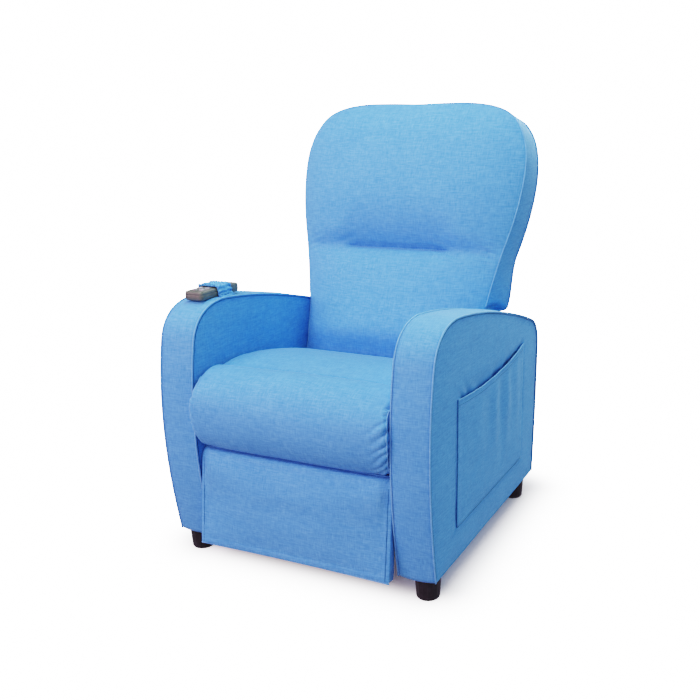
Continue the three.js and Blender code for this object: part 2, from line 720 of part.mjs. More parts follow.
// Elastic band over the handset, sewn to the arm on both sides of it.
const BAND = { wall: 3, y: [-254, -214] };
function handsetBand() {
  const half = HANDSET.width / 2 + 1;
  const low = HANDSET.bottom - 0.6;
  const high = keyTop + 1;
  const outerX = [HANDSET.x - half - BAND.wall, HANDSET.x + half + BAND.wall];
  const innerX = [HANDSET.x - half, HANDSET.x + half];
  const through = [BAND.y[0] - 1, BAND.y[1] + 1];
  return cut(block(outerX, BAND.y, [low, high + BAND.wall]), block(innerX, through, [low - 1, high]));
}
piece('handset_band', handsetBand(), FABRIC);

export default chair;
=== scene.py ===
import json
import math

import bmesh
import bpy
import numpy as np
from mathutils import Euler, Matrix, Vector, noise
from mathutils.kdtree import KDTree


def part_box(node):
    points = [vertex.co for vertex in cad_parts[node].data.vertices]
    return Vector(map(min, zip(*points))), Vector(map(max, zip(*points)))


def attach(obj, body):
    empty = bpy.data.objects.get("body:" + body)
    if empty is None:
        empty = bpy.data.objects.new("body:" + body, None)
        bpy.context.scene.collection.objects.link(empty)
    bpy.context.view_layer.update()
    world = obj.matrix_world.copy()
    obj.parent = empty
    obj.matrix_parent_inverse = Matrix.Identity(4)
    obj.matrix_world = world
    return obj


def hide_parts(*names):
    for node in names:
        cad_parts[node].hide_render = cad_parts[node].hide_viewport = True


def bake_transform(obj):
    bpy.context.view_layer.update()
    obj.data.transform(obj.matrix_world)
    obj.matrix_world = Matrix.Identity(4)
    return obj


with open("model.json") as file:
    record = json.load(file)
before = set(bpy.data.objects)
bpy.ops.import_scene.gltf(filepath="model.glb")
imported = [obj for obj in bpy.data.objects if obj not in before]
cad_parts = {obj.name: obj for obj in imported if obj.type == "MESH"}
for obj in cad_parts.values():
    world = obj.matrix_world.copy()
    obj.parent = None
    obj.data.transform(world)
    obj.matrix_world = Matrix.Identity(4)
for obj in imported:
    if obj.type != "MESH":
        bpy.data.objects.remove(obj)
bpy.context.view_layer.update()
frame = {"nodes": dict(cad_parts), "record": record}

# The looks of a powered patient recliner in woven blue fabric.
# Every size is in metres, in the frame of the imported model: +Z up, the seat faces -Y.

NODES = frame["nodes"]
SCENE = bpy.context.scene
MM = 0.001
TURN = 2 * math.pi

# ---- Camera and light ----
VIEW_YAW = math.radians(24.56)
VIEW_PITCH = math.radians(16.88)
VIEW_ROLL = math.radians(-0.46)
CAMERA_AT = Vector((1.000, -1.901, 1.013))
FOCAL = 44.0  # on a 36 mm sensor
SHIFT = (-0.0947, 0.0507)
# Each light: name, place, size, power, colour.
LIGHTS = (
    ("key_light", (-0.7, -2.6, 2.6), 1.3, 54.0, (0.95, 0.74, 0.88)),
    ("left_key_light", (-1.5, -1.9, 3.1), 1.4, 23.0, (1.0, 0.62, 0.94)),
    ("front_light", (0.4, -3.4, 1.4), 2.0, 34.0, (1.0, 0.66, 0.72)),
    ("low_light", (-1.8, -2.8, 0.8), 1.8, 18.0, (1.0, 0.42, 0.76)),
    ("side_light", (3.2, 0.2, 1.4), 2.0, 32.0, (0.66, 0.90, 1.0)),
    ("left_light", (-3.2, -0.4, 1.6), 2.0, 30.0, (0.95, 0.92, 1.0)),
    ("top_light", (0.0, 0.2, 3.3), 1.6, 52.0, (0.80, 1.0, 1.0)),
    ("rear_light", (0.6, 2.6, 2.6), 1.6, 78.0, (0.98, 0.99, 1.0)),
)
AMBIENT = (0.32, 0.27, 0.34)
WHITE_GLOW = 14.0  # the studio's own brightness, which the tone curve shows as white
# A shade painted on the floor: its glow is turned down in a box under the object.
PAINTED_SHADE_CENTRE = (0.0, 0.02, 0.0)
PAINTED_SHADE_HALF = (0.29, 0.30, 1.0)
PAINTED_SHADE_EDGE = 0.22  # the painted shade under the object fades out over this distance
PAINTED_SHADE_GLOW = 0.1  # square root of the glow that is left in it
FLOOR_WHITE = 0.9  # square root of the floor's reflectance in the shade,
FLOOR_REACH = 1.8  # which falls to nothing over this distance
FLOOR_HALF = 12.0
DOME_RADIUS = 11.5
LIGHT_TARGET = Vector((0.0, -0.05, 0.5))


def add_object(name, data):
    obj = bpy.data.objects.new(name, data)
    SCENE.collection.objects.link(obj)
    return obj


def make_camera():
    facing = Euler((math.pi / 2 - VIEW_PITCH, 0.0, VIEW_YAW)).to_matrix()
    turn = facing @ Matrix.Rotation(VIEW_ROLL, 3, "Z")
    data = bpy.data.cameras.new("camera")
    data.lens = FOCAL
    data.shift_x, data.shift_y = SHIFT
    data.clip_end = 50.0
    SCENE.camera = add_object("camera", data)
    SCENE.camera.matrix_world = Matrix.Translation(CAMERA_AT) @ turn.to_4x4()


def make_studio():
    for name, place, size, power, color in LIGHTS:
        data = bpy.data.lights.new(name, "AREA")
        data.shape = "DISK"
        data.size = size
        data.energy = power
        data.color = color
        aim = (LIGHT_TARGET - Vector(place)).to_track_quat("-Z", "Y")
        add_object(name, data).matrix_world = Matrix.Translation(place) @ aim.to_matrix().to_4x4()
    world = bpy.data.worlds.new("studio")
    world.use_nodes = True
    background = world.node_tree.nodes["Background"]
    background.inputs["Color"].default_value = (*AMBIENT, 1.0)
    SCENE.world = world
    SCENE.view_settings.view_transform = "Filmic"
    SCENE.view_settings.look = "High Contrast"


# ---- Materials ----
MATERIALS = {}  # by name; each CAD node wears the one that its slot names


class Nodes:
    """Short calls for building a material's node tree."""

    def __init__(self, name):
        self.material = MATERIALS[name] = bpy.data.materials.new(name)
        self.material.use_nodes = True
        self.tree = self.material.node_tree
        self.shader = self.tree.nodes["Principled BSDF"]

    def plug(self, source, target):
        if isinstance(source, (int, float, tuple)):
            target.default_value = source
        else:
            self.tree.links.new(source, target)

    def add(self, kind, inputs=None, **settings):
        """A new node, with a value or another node's output for each named or numbered input."""
        node = self.tree.nodes.new(kind)
        for key, value in settings.items():
            setattr(node, key, value)
        for key, source in (inputs or {}).items():
            self.plug(source, node.inputs[key])
        return node

    def math(self, operation, a, b=0.0):
        return self.add("ShaderNodeMath", {0: a, 1: b}, operation=operation).outputs[0]

    def plus(self, a, b):
        return self.math("ADD", a, b)

    def times(self, a, b):
        return self.math("MULTIPLY", a, b)

    def vector(self, x, y, z=0.0):
        return self.add("ShaderNodeCombineXYZ", {0: x, 1: y, 2: z}).outputs[0]

    def noise(self, vector, scale=1.0, detail=2.0, rough=0.5):
        inputs = {"Vector": vector, "Scale": scale, "Detail": detail, "Roughness": rough}
        return self.add("ShaderNodeTexNoise", inputs).outputs["Fac"]

    def color(self, factor, *stops):
        node = self.add("ShaderNodeValToRGB", {"Fac": factor})
        elements = node.color_ramp.elements
        while len(elements) < len(stops):
            elements.new(0.5)
        for element, (place, color) in zip(elements, stops):
            element.position = place
            element.color = (*color, 1.0)
        self.plug(node.outputs["Color"], self.shader.inputs["Base Color"])

    def place(self):
        return self.add("ShaderNodeTexCoord").outputs["Object"]

    def bump(self, height, strength, distance):
        inputs = {"Strength": strength, "Distance": distance, "Height": height}
        self.plug(self.add("ShaderNodeBump", inputs).outputs["Normal"], self.shader.inputs["Normal"])

    def finish(self, roughness, metallic=0.0, **extra):
        for key, value in dict(Roughness=roughness, Metallic=metallic, **extra).items():
            self.plug(value, self.shader.inputs[key.replace("_", " ")])
        return self.material

    def cloth_axes(self):
        """Coordinates across and along the cloth, in metres, from where the surface faces."""
        where = self.add("ShaderNodeTexCoord")
        place = self.add("ShaderNodeSeparateXYZ", {0: where.outputs["Object"]})
        facing = self.add("ShaderNodeSeparateXYZ", {0: where.outputs["Normal"]})
        nx, ny, nz = (self.math("ABSOLUTE", facing.outputs[i]) for i in range(3))
        sideways = self.math("GREATER_THAN", nx, self.math("MAXIMUM", ny, nz))
        upward = self.math("GREATER_THAN", nz, self.math("MAXIMUM", nx, ny))
        x, y, z = place.outputs
        across = self.plus(x, self.times(sideways, self.math("SUBTRACT", y, x)))
        along = self.plus(z, self.times(upward, self.math("SUBTRACT", y, z)))
        return across, along, where.outputs["Object"]


THREAD = 1.3 * MM  # pitch of the weave
# Streaks of uneven yarn, fine and coarse: width, length and share of the shade.
SLUBS = ((1.3 * MM, 17 * MM, 0.36), (3.4 * MM, 42 * MM, 0.14))


def woven_fabric(name, dark, base, light):
    n = Nodes(name)
    u, v, place = n.cloth_axes()

    def streaks(width, length):
        """The shade of the yarns, those along and those across the cloth together."""
        seed = 10 * width / MM
        warp = n.vector(n.math("DIVIDE", u, width), n.math("DIVIDE", v, length), seed)
        weft = n.vector(n.math("DIVIDE", u, length), n.math("DIVIDE", v, width), seed + 7.3)
        return n.plus(*(n.noise(yarn, 1.0, 3.0, 0.6) for yarn in (warp, weft)))

    heather = n.plus(*(n.times(streaks(width, length), share) for width, length, share in SLUBS))
    cloudy = n.noise(place, 9.0, 2.0)
    tint = n.plus(heather, n.times(n.math("SUBTRACT", cloudy, 0.5), 0.06))
    n.color(tint, (0.39, dark), (0.5, base), (0.61, light))
    across = n.math("SINE", n.times(u, TURN / THREAD))
    along = n.math("SINE", n.times(v, TURN / THREAD))
    weave = n.times(n.plus(n.times(across, along), 1.0), 0.5)
    height = n.plus(n.times(weave, 0.5), n.times(heather, 1.2))
    n.bump(height, 0.35, 0.5 * MM)
    return n.finish(
        0.72, Sheen_Weight=0.30, Sheen_Roughness=0.35, Sheen_Tint=(0.45, 0.8, 1.0, 1.0),
        Specular_IOR_Level=0.50, Specular_Tint=(0.40, 0.95, 1.0, 1.0),
    )


def plywood(name):
    n = Nodes(name)
    u, v, place = n.cloth_axes()
    grain = n.noise(n.vector(n.times(u, 14.0), n.times(v, 190.0)), 1.0, 5.0, 0.6)
    rings = n.noise(place, 24.0, 3.0)
    mixed = n.plus(n.times(grain, 0.75), n.times(rings, 0.25))
    n.color(mixed, (0.3, (0.42, 0.27, 0.14)), (0.5, (0.62, 0.44, 0.26)), (0.72, (0.74, 0.58, 0.38)))
    n.bump(mixed, 0.3, 0.4 * MM)
    return n.finish(0.62)


def metal(name, dark, light, roughness, metallic):
    n = Nodes(name)
    place = n.place()
    speck = n.noise(place, 900.0, 3.0)
    wear = n.noise(place, 26.0, 4.0, 0.65)
    both = n.plus(n.times(speck, 0.45), n.times(wear, 0.55))
    n.color(both, (0.35, dark), (0.66, light))
    n.bump(speck, 0.12, 0.2 * MM)
    return n.finish(roughness, metallic)


def plastic(name, dark, light, roughness):
    n = Nodes(name)
    place = n.place()
    pebble = n.noise(place, 1400.0, 2.0)
    rub = n.noise(place, 34.0, 3.0, 0.6)
    n.color(rub, (0.35, dark), (0.7, light))
    n.bump(pebble, 0.18, 0.15 * MM)
    return n.finish(roughness, Coat_Weight=0.08)


# Cloths with the colours of their dark, middle and light yarns; the piping's cloth is lighter than the
# cover's, a painted highlight, and the seam thread's is darker, thread with painted shade; the rest with a
# dark and a light tone.
BLUE = woven_fabric("blue_fabric", (0.062, 0.235, 0.58), (0.095, 0.31, 0.69), (0.145, 0.40, 0.79))
# A lighter copy of the blue cloth for the piping: a painted highlight on the beads.
PIPING_WITH_HIGHLIGHT = woven_fabric("blue_piping_with_highlight", (0.11, 0.32, 0.66), (0.15, 0.39, 0.75), (0.21, 0.48, 0.83))
# A darker copy of the blue cloth for the lines of sewing: thread, and painted shade in the seams' grooves.
DARK_THREAD_AND_SEAM_SHADE = woven_fabric("seam_thread_and_shade", (0.02, 0.10, 0.26), (0.03, 0.14, 0.34), (0.05, 0.2, 0.42))
plywood("timber")
metal("painted_steel", (0.012, 0.012, 0.014), (0.03, 0.03, 0.034), 0.42, 0.6)
metal("zinc_steel", (0.42, 0.44, 0.46), (0.66, 0.68, 0.70), 0.32, 1.0)
metal("spring_wire", (0.2, 0.2, 0.22), (0.42, 0.43, 0.45), 0.35, 1.0)
plastic("black_plastic", (0.010, 0.010, 0.011), (0.024, 0.024, 0.026), 0.48)
HANDSET = plastic("handset_plastic", (0.085, 0.105, 0.080), (0.135, 0.165, 0.125), 0.36)
plastic("key_plastic", (0.32, 0.34, 0.36), (0.46, 0.48, 0.50), 0.5)


def dress_cad_nodes():
    for part in frame["record"]["subparts"]:
        mesh = NODES[part["node"]].data
        mesh.materials.clear()
        mesh.materials.append(MATERIALS[part["material_slot"]])


# ---- Floor and backdrop ----
def paper(name, diffuse):
    """White studio paper: part of its brightness is its own, so it stays even and pale."""
    n = Nodes(name)
    n.finish(
        1.0, Base_Color=(diffuse, diffuse, diffuse, 1.0), Specular_IOR_Level=0.0,
        Emission_Color=(1.0, 1.0, 1.0, 1.0), Emission_Strength=WHITE_GLOW,
    )
    return n


def floor_paper():
    """Paper with a painted shade under the object, where its glow is turned down, that turns evenly white
    around it.
    """
    n = paper("floor_paper", FLOOR_WHITE)
    value = n.place()
    none = (0.0, 0.0, 0.0)
    distance_steps = (
        ("SUBTRACT", PAINTED_SHADE_CENTRE), ("ABSOLUTE", none), ("SUBTRACT", PAINTED_SHADE_HALF),
        ("MAXIMUM", none), ("LENGTH", none),
    )
    for operation, operand in distance_steps:
        step = n.add("ShaderNodeVectorMath", {0: value, 1: operand}, operation=operation)
        value = step.outputs["Value" if operation == "LENGTH" else "Vector"]
    # Painted shade: the glow is low in the box under the object and rises to full white around it.
    fades = (
        ("Emission Strength", PAINTED_SHADE_EDGE, PAINTED_SHADE_GLOW, WHITE_GLOW**0.5),
        ("Base Color", FLOOR_REACH, FLOOR_WHITE, 0.0),
    )
    for socket, reach, near, far in fades:
        inputs = {"Value": value, "From Min": 0.0, "From Max": reach, "To Min": near, "To Max": far}
        fade = n.add("ShaderNodeMapRange", inputs, interpolation_type="SMOOTHSTEP")
        n.plug(n.math("POWER", fade.outputs["Result"], 2.0), n.shader.inputs[socket])
    return n.material


def stage_piece(name, mesh, material):
    piece = add_object(name, mesh)
    mesh.materials.append(material)
    piece.visible_diffuse = piece.visible_glossy = False
    return piece


def make_floor():
    mesh = bpy.data.meshes.new("floor")
    corners = [(x * FLOOR_HALF, y * FLOOR_HALF, 0) for x, y in ((-1, -1), (1, -1), (1, 1), (-1, 1))]
    mesh.from_pydata(corners, [], [(0, 1, 2, 3)])
    stage_piece("floor", mesh, floor_paper()).location.z = -0.5 * MM
    dome = bmesh.new()
    bmesh.ops.create_uvsphere(dome, u_segments=48, v_segments=24, radius=DOME_RADIUS)
    mesh = bpy.data.meshes.new("backdrop")
    dome.to_mesh(mesh)
    dome.free()
    backdrop = stage_piece("backdrop", mesh, paper("backdrop_paper", 0.0).material)
    backdrop.visible_shadow = False


# ---- Mesh helpers ----
def new_object(name, vertices, faces, material):
    """A smooth closed piece, with its faces turned outwards."""
    mesh = bpy.data.meshes.new(name)
    mesh.from_pydata([tuple(map(float, v)) for v in vertices], [], faces)
    mesh.validate()
    mesh.update()
    mesh.polygons.foreach_set("use_smooth", [True] * len(mesh.polygons))
    mesh.materials.append(material)
    turned = bmesh.new()
    turned.from_mesh(mesh)
    bmesh.ops.recalc_face_normals(turned, faces=turned.faces)
    turned.to_mesh(mesh)
    turned.free()
    return add_object(name, mesh)


def side_faces(rows, count):
    """Faces between each closed loop of points and the next one."""
    faces = []
    for i in range(rows - 1):
        for j in range(count):
            k = (j + 1) % count
            faces.append((i * count + j, i * count + k, (i + 1) * count + k, (i + 1) * count + j))
    return faces


def loft(name, loops, material):
    """A closed body through a list of closed loops, each with the same number of points."""
    loops = np.asarray(loops, float)
    rows, count = loops.shape[:2]
    vertices = list(loops.reshape(-1, 3))
    faces = side_faces(rows, count)
    for row, turned in ((0, True), (rows - 1, False)):
        vertices.append(loops[row].mean(axis=0))
        hub = len(vertices) - 1
        for j in range(count):
            a, b = row * count + j, row * count + (j + 1) % count
            faces.append((hub, b, a) if turned else (hub, a, b))
    return new_object(name, vertices, faces, material)


def unit(vectors):
    return vectors / np.linalg.norm(vectors, axis=1)[:, None]


def xyz(x, y, z):
    """Points from their coordinates, each of which may be one value for all of them."""
    return np.stack(np.broadcast_arrays(x, y, z), axis=-1)


def at_x(x, yz):
    """Points at one x, or each at its own, from their (y, z)."""
    return xyz(x, *yz.T)


def curve_normals(curve):
    """At each point of a flat curve, the unit vector a quarter turn left of its direction."""
    return unit(np.gradient(curve, axis=0)[:, ::-1] * (-1.0, 1.0))


def run_length(points):
    """The distance along a polyline from its start to each of its points."""
    return np.concatenate([[0.0], np.cumsum(np.linalg.norm(np.diff(points, axis=0), axis=1))])


def along_curve(points, spacing):
    """Points resampled at an even spacing along a polyline."""
    points = np.asarray(points, float)
    distance = run_length(points)
    count = max(2, int(round(distance[-1] / spacing)) + 1)
    wanted = np.linspace(0.0, distance[-1], count)
    return np.stack([np.interp(wanted, distance, column) for column in points.T], axis=1)


BEAD_SIDES = 8
BASE_SPACING = 12 * MM  # between points on the straight stretches that nobody sees


def trim(name, points, radius, material, carrier):
    """Piping or a line of sewing along a seam: a round bead along a line of points. The lighter piping cloth
    paints a highlight on it, and the dark thread paints the seam's shade.
    """
    tangents = unit(np.gradient(points, axis=0))
    normal = np.cross(tangents[0], [0.0, 0.0, 1.0])
    if np.linalg.norm(normal) < 0.1:
        normal = np.cross(tangents[0], [1.0, 0.0, 0.0])
    vertices = []
    for point, tangent in zip(points, tangents):
        normal = normal - tangent * np.dot(normal, tangent)
        normal /= np.linalg.norm(normal)
        other = np.cross(tangent, normal)
        for k in range(BEAD_SIDES):
            angle = TURN * k / BEAD_SIDES
            vertices.append(point + radius * (math.cos(angle) * normal + math.sin(angle) * other))
    faces = side_faces(len(points), BEAD_SIDES)
    faces.append(tuple(range(BEAD_SIDES)))
    faces.append(tuple(range(len(vertices) - BEAD_SIDES, len(vertices))))
    bead = new_object(name, vertices, faces, material)
    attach(bead, carrier)


def cushion(name, loops, node, carrier):
    """A padded piece in blue cloth, which stands for a node of the CAD model."""
    body = loft(name, loops, BLUE)
    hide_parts(node)
    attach(body, carrier)
    return body


def closed_outline(curve, centre):
    """The curve with a straight base, and the direction away from the centre, which is 0 on the base."""
    base = along_curve([curve[-1], curve[0]], BASE_SPACING)[1:-1]
    outline = np.concatenate([curve, base])
    outward = unit(outline - centre)
    outward[len(curve):] = 0.0
    return outline, outward


def bezier(points, count):
    """A Bezier curve of any degree."""
    points = np.asarray(points, float)
    t = np.linspace(0.0, 1.0, count)[:, None]
    degree = len(points) - 1
    return sum(
        math.comb(degree, k) * t**k * (1 - t) ** (degree - k) * points[k] for k in range(degree + 1)
    )


def path(start, *stretches):
    """Bezier stretches end to end: each has its count of points, then its control points after its start."""
    points = [np.array([start], float)]
    for count, *controls in stretches:
        points.append(bezier([points[-1][-1], *controls], count)[1:])
    return np.concatenate(points)


def smoothstep(low, high, value):
    t = np.clip((value - low) / (high - low), 0.0, 1.0)
    return t * t * (3 - 2 * t)


def bell(middle, width, value):
    return np.exp(-(((value - middle) / width) ** 2))


def off_ends(edge, value):
    """0 at 0 and 1, and 1 between them from the given distance on."""
    return np.minimum(smoothstep(0.0, edge, value), smoothstep(1.0, 1 - edge, value))


def ripple(points, size, seed):
    """Smooth noise from -1 to 1 at each point, with bumps about 'size' across."""
    offset = Vector((seed, seed * 0.7, -seed))
    return np.array([noise.noise(Vector(p) / size + offset) for p in points])


def vertices_of(mesh, field="co"):
    flat = np.empty(len(mesh.vertices) * 3)
    mesh.vertices.foreach_get(field, flat)
    return flat.reshape(-1, 3)


CLOTH_VOXEL = 7 * MM
CLOTH_FRAMES = 20
CLOTH_PRESSURE = 4.0
CLOTH_SWELL = 0.25  # the share of the cloth's own swelling that is kept
CLOTH_NEAR = 8  # a point moves with this many of the cloth's nearest points


def evaluated_mesh(obj):
    return bpy.data.meshes.new_from_object(obj.evaluated_get(bpy.context.evaluated_depsgraph_get()))


def cloth_copy(obj):
    """The piece's shape as an even mesh that cloth can be simulated on."""
    copy = add_object(obj.name + "_cloth", obj.data.copy())
    remesh = copy.modifiers.new("remesh", "REMESH")
    remesh.mode = "VOXEL"
    remesh.voxel_size = CLOTH_VOXEL
    even = evaluated_mesh(copy)
    copy.modifiers.clear()
    copy.data = even
    return copy


def simulate(copy, pinned):
    """Blow the cloth up from inside, sewn down at the pinned places; gives each point's move."""
    start = vertices_of(copy.data)
    sewn = copy.vertex_groups.new(name="sewn")
    sewn.add(np.flatnonzero(pinned(start)).tolist(), 1.0, "REPLACE")
    cloth = copy.modifiers.new("cloth", "CLOTH").settings
    cloth.quality = 5
    cloth.use_pressure = True
    cloth.uniform_pressure_force = CLOTH_PRESSURE
    cloth.effector_weights.gravity = 0.0
    cloth.vertex_group_mass = "sewn"
    for frame_number in range(1, CLOTH_FRAMES + 1):
        SCENE.frame_set(frame_number)
    moved = vertices_of(evaluated_mesh(copy)) - start
    SCENE.frame_set(1)
    return start, moved


def inflate(obj, pinned, cap):
    """Give a cushion the fullness and slack of stuffed cloth, keeping its own seams and folds."""
    copy = cloth_copy(obj)
    normals = vertices_of(copy.data, "normal")
    start, moved = simulate(copy, pinned)
    free = ~pinned(start)
    outward = float(np.mean(np.sum(moved * normals, axis=1)[free]))
    moved -= normals * ((1 - CLOTH_SWELL) * outward * free)[:, None]
    size = np.linalg.norm(moved, axis=1)
    moved *= (cap / np.maximum(cap, size))[:, None]
    tree = KDTree(len(start))
    for i, place in enumerate(start):
        tree.insert(place, i)
    tree.balance()
    points = vertices_of(obj.data)
    shift = np.zeros_like(points)
    for i, point in enumerate(points):
        near = tree.find_n(point, CLOTH_NEAR)
        weights = np.array([1 / (distance + 2 * MM) ** 2 for _, _, distance in near])
        shift[i] = weights @ moved[[index for _, index, _ in near]] / weights.sum()
    obj.data.vertices.foreach_set("co", (points + shift).ravel())
    obj.data.update()
    bpy.data.objects.remove(copy)


# ---- Arms ----
ARM_LOW, ARM_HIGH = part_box("arm_upholstery_right")
POCKET_LOW, POCKET_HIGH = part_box("side_pocket_panel")
ARM_CENTRE = np.array([-0.02, 0.31])  # (y, z) that the side faces' rings shrink towards
ARM_SIDE_PUFF = 3.0 * MM
EDGE_TUCK = 1.6 * MM
ARM_CROWN = 4.5 * MM
PIPE = 2.1 * MM
# Radius of the dark seam lines, which are thread and painted shade.
SEAM_LINE_RADIUS = 0.9 * MM
RING_SCALES = (  # closer together near the edge, where the side turns in
    0.02, 0.12, 0.24, 0.35, 0.45, 0.54, 0.62, 0.69, 0.76, 0.82, 0.87, 0.91, 0.94, 0.965, 0.982, 0.993,
)
SEAM_INSET = 0.015  # the line of sewing lies inside the outline by this share
POCKET_DEPTH = 12 * MM
MOUTH_FRONT = 0.444  # height of the mouth's curve at its front end
MOUTH_MIDDLE = 0.4235  # and of its middle control point


def arm_profile():
    """The arm's side outline as (y, z), from the front's foot over the top to the rear's foot."""
    bottom, top = ARM_LOW.z / MM, ARM_HIGH.z / MM
    rear = ARM_HIGH.y / MM
    return MM * path(
        (-373, bottom),
        (40, (-428, 330), (-384, 535)),
        (40, (-374, 592), (-330, top), (-255, top)),
        (40, (-60, 612), (223, 531)),
        (2, (285, 511)),
        (24, (rear - 1, 490), (rear - 1, 425)),
        (24, (rear, 250), (328, bottom)),
    )


def pocket_mouth(y):
    """Height of the pocket's open edge at a place along the arm."""
    span = POCKET_HIGH.y - POCKET_LOW.y
    t = np.clip((y - POCKET_LOW.y) / span, 0.0, 1.0)
    return MOUTH_FRONT * (1 - t) ** 2 + MOUTH_MIDDLE * 2 * t * (1 - t) + POCKET_HIGH.z * t**2


def edge_scale(y, z):
    """0 at the centre of the arm's side, 1 on its outline."""
    outline = closed_outline(arm_profile(), ARM_CENTRE)[0] - ARM_CENTRE
    angles = np.arctan2(outline[:, 1], outline[:, 0])
    order = np.argsort(angles)
    reach = np.linalg.norm(outline, axis=1)[order]
    dy, dz = y - ARM_CENTRE[0], z - ARM_CENTRE[1]
    return np.hypot(dy, dz) / np.interp(np.arctan2(dz, dy), angles[order], reach, period=TURN)


def side_rise(scale):
    """The arm's soft side stands out of its box in the middle and turns in at its edges."""
    return (ARM_SIDE_PUFF + EDGE_TUCK) * (1 - scale**9) - EDGE_TUCK


def arm_wave(points, seed):
    """The slight unevenness of cloth over padding."""
    return 1.1 * MM * ripple(points, 0.13, seed) + 0.35 * MM * ripple(points, 0.03, 9.0)


def pocket_recess(y, z):
    """How far the arm's side is hollowed behind the pocket."""
    inset, edge = 9 * MM, 26 * MM
    along = smoothstep(POCKET_LOW.y + inset, POCKET_LOW.y + edge, y)
    along = along * smoothstep(POCKET_HIGH.y - inset, POCKET_HIGH.y - edge, y)
    low = smoothstep(POCKET_LOW.z + inset, POCKET_LOW.z + edge, z)
    mouth = pocket_mouth(y)
    high = smoothstep(mouth + 6 * MM, mouth - 10 * MM, z)
    return POCKET_DEPTH * along * low * high


def arm(side):
    name = "left" if side < 0 else "right"
    profile = along_curve(arm_profile(), 7 * MM)
    outline, outward = closed_outline(profile, ARM_CENTRE)
    inner, outer = ARM_LOW.x, ARM_HIGH.x
    half, middle = (outer - inner) / 2, (outer + inner) / 2
    loops = []

    def ring(scale, x, grow=0.0):
        loops.append(at_x(x, ARM_CENTRE + (outline - ARM_CENTRE) * scale + outward * grow))

    for scale in RING_SCALES:
        ring(scale, -half - side_rise(scale))
    for step in np.linspace(-1.0, 1.0, 15):
        ring(1.0, step * half, ARM_CROWN * (1 - step * step) - 0.8 * MM)
    for scale in reversed(RING_SCALES):
        ring(scale, half + side_rise(scale))
    loops = np.array(loops)
    loops[:, :, 0] += middle
    flat = loops.reshape(-1, 3)
    if side > 0:
        on_side = flat[:, 0] > outer - 4 * MM
        flat[:, 0] -= pocket_recess(flat[:, 1], flat[:, 2]) * on_side
    flat[:, 0] *= side
    wave = arm_wave(flat, 3.0 + side)
    radial = unit(flat[:, 1:] - ARM_CENTRE)
    raised = flat[:, 2] > ARM_LOW.z + 4 * MM
    on_band = np.abs(np.abs(flat[:, 0]) - middle) < half - MM
    flat[:, 0] += np.where(~on_band, wave * side, 0.0)
    flat[:, 1:] += np.where((on_band & raised)[:, None], wave[:, None] * radial, 0.0)
    cushion(f"arm_fabric_{name}", loops, f"arm_upholstery_{name}", "base")
    # Piping in the lighter cloth (painted highlight) along each edge of the arm, and a dark seam line inside
    # it that is thread and painted shade.
    sewn = ARM_CENTRE + (profile - ARM_CENTRE) * (1 - SEAM_INSET)
    for edge, x, sign in (("inner", inner, -1), ("outer", outer, 1)):
        trim(f"arm_piping_{edge}_{name}", at_x(side * x, profile), PIPE, PIPING_WITH_HIGHLIGHT, "base")
        line = at_x(side * (x - sign * 0.6 * MM), sewn)
        trim(f"arm_seam_{edge}_{name}", line, SEAM_LINE_RADIUS, DARK_THREAD_AND_SEAM_SHADE, "base")


# ---- Side pocket ----
# Soft folds that hang from the mouth: place along it, width and height.
POCKET_FOLDS = (
    (0.28, 0.060, 2.0 * MM), (0.50, 0.045, 3.6 * MM), (0.60, 0.035, -2.4 * MM),
    (0.70, 0.045, 3.8 * MM), (0.86, 0.050, 2.4 * MM),
)
POCKET_BELLY = 4 * MM
POCKET_CLEAR = 1.5 * MM  # the pocket's cloth lies this far off the arm at its seams


def pocket_point(u, v):
    """A point of the pocket's cloth: u from front to rear, v from bottom to mouth."""
    y = POCKET_LOW.y + u * (POCKET_HIGH.y - POCKET_LOW.y)
    mouth = pocket_mouth(y)
    z = POCKET_LOW.z + v * (mouth - POCKET_LOW.z)
    stitched = off_ends(0.10, u) * smoothstep(0.0, 0.10, v)
    belly = POCKET_BELLY * np.clip(np.sin(math.pi * u), 0.0, 1.0) ** 0.8 * (0.35 + 0.65 * v)
    hang = smoothstep(0.10, 0.70, v) * (1 - 0.8 * smoothstep(0.80, 1.0, v))
    folds = 0.0
    for place, width, height in POCKET_FOLDS:
        lean = place + 0.06 * (1 - v) ** 1.5
        folds = folds + height * bell(lean, width * (1.5 - 0.5 * v), u) * hang
    wave = arm_wave(xyz(ARM_HIGH.x, y, z).reshape(-1, 3), 4.0).reshape(y.shape)
    x = ARM_HIGH.x + side_rise(edge_scale(y, z)) + wave + POCKET_CLEAR + stitched * (belly + folds)
    return xyz(x, y, z)


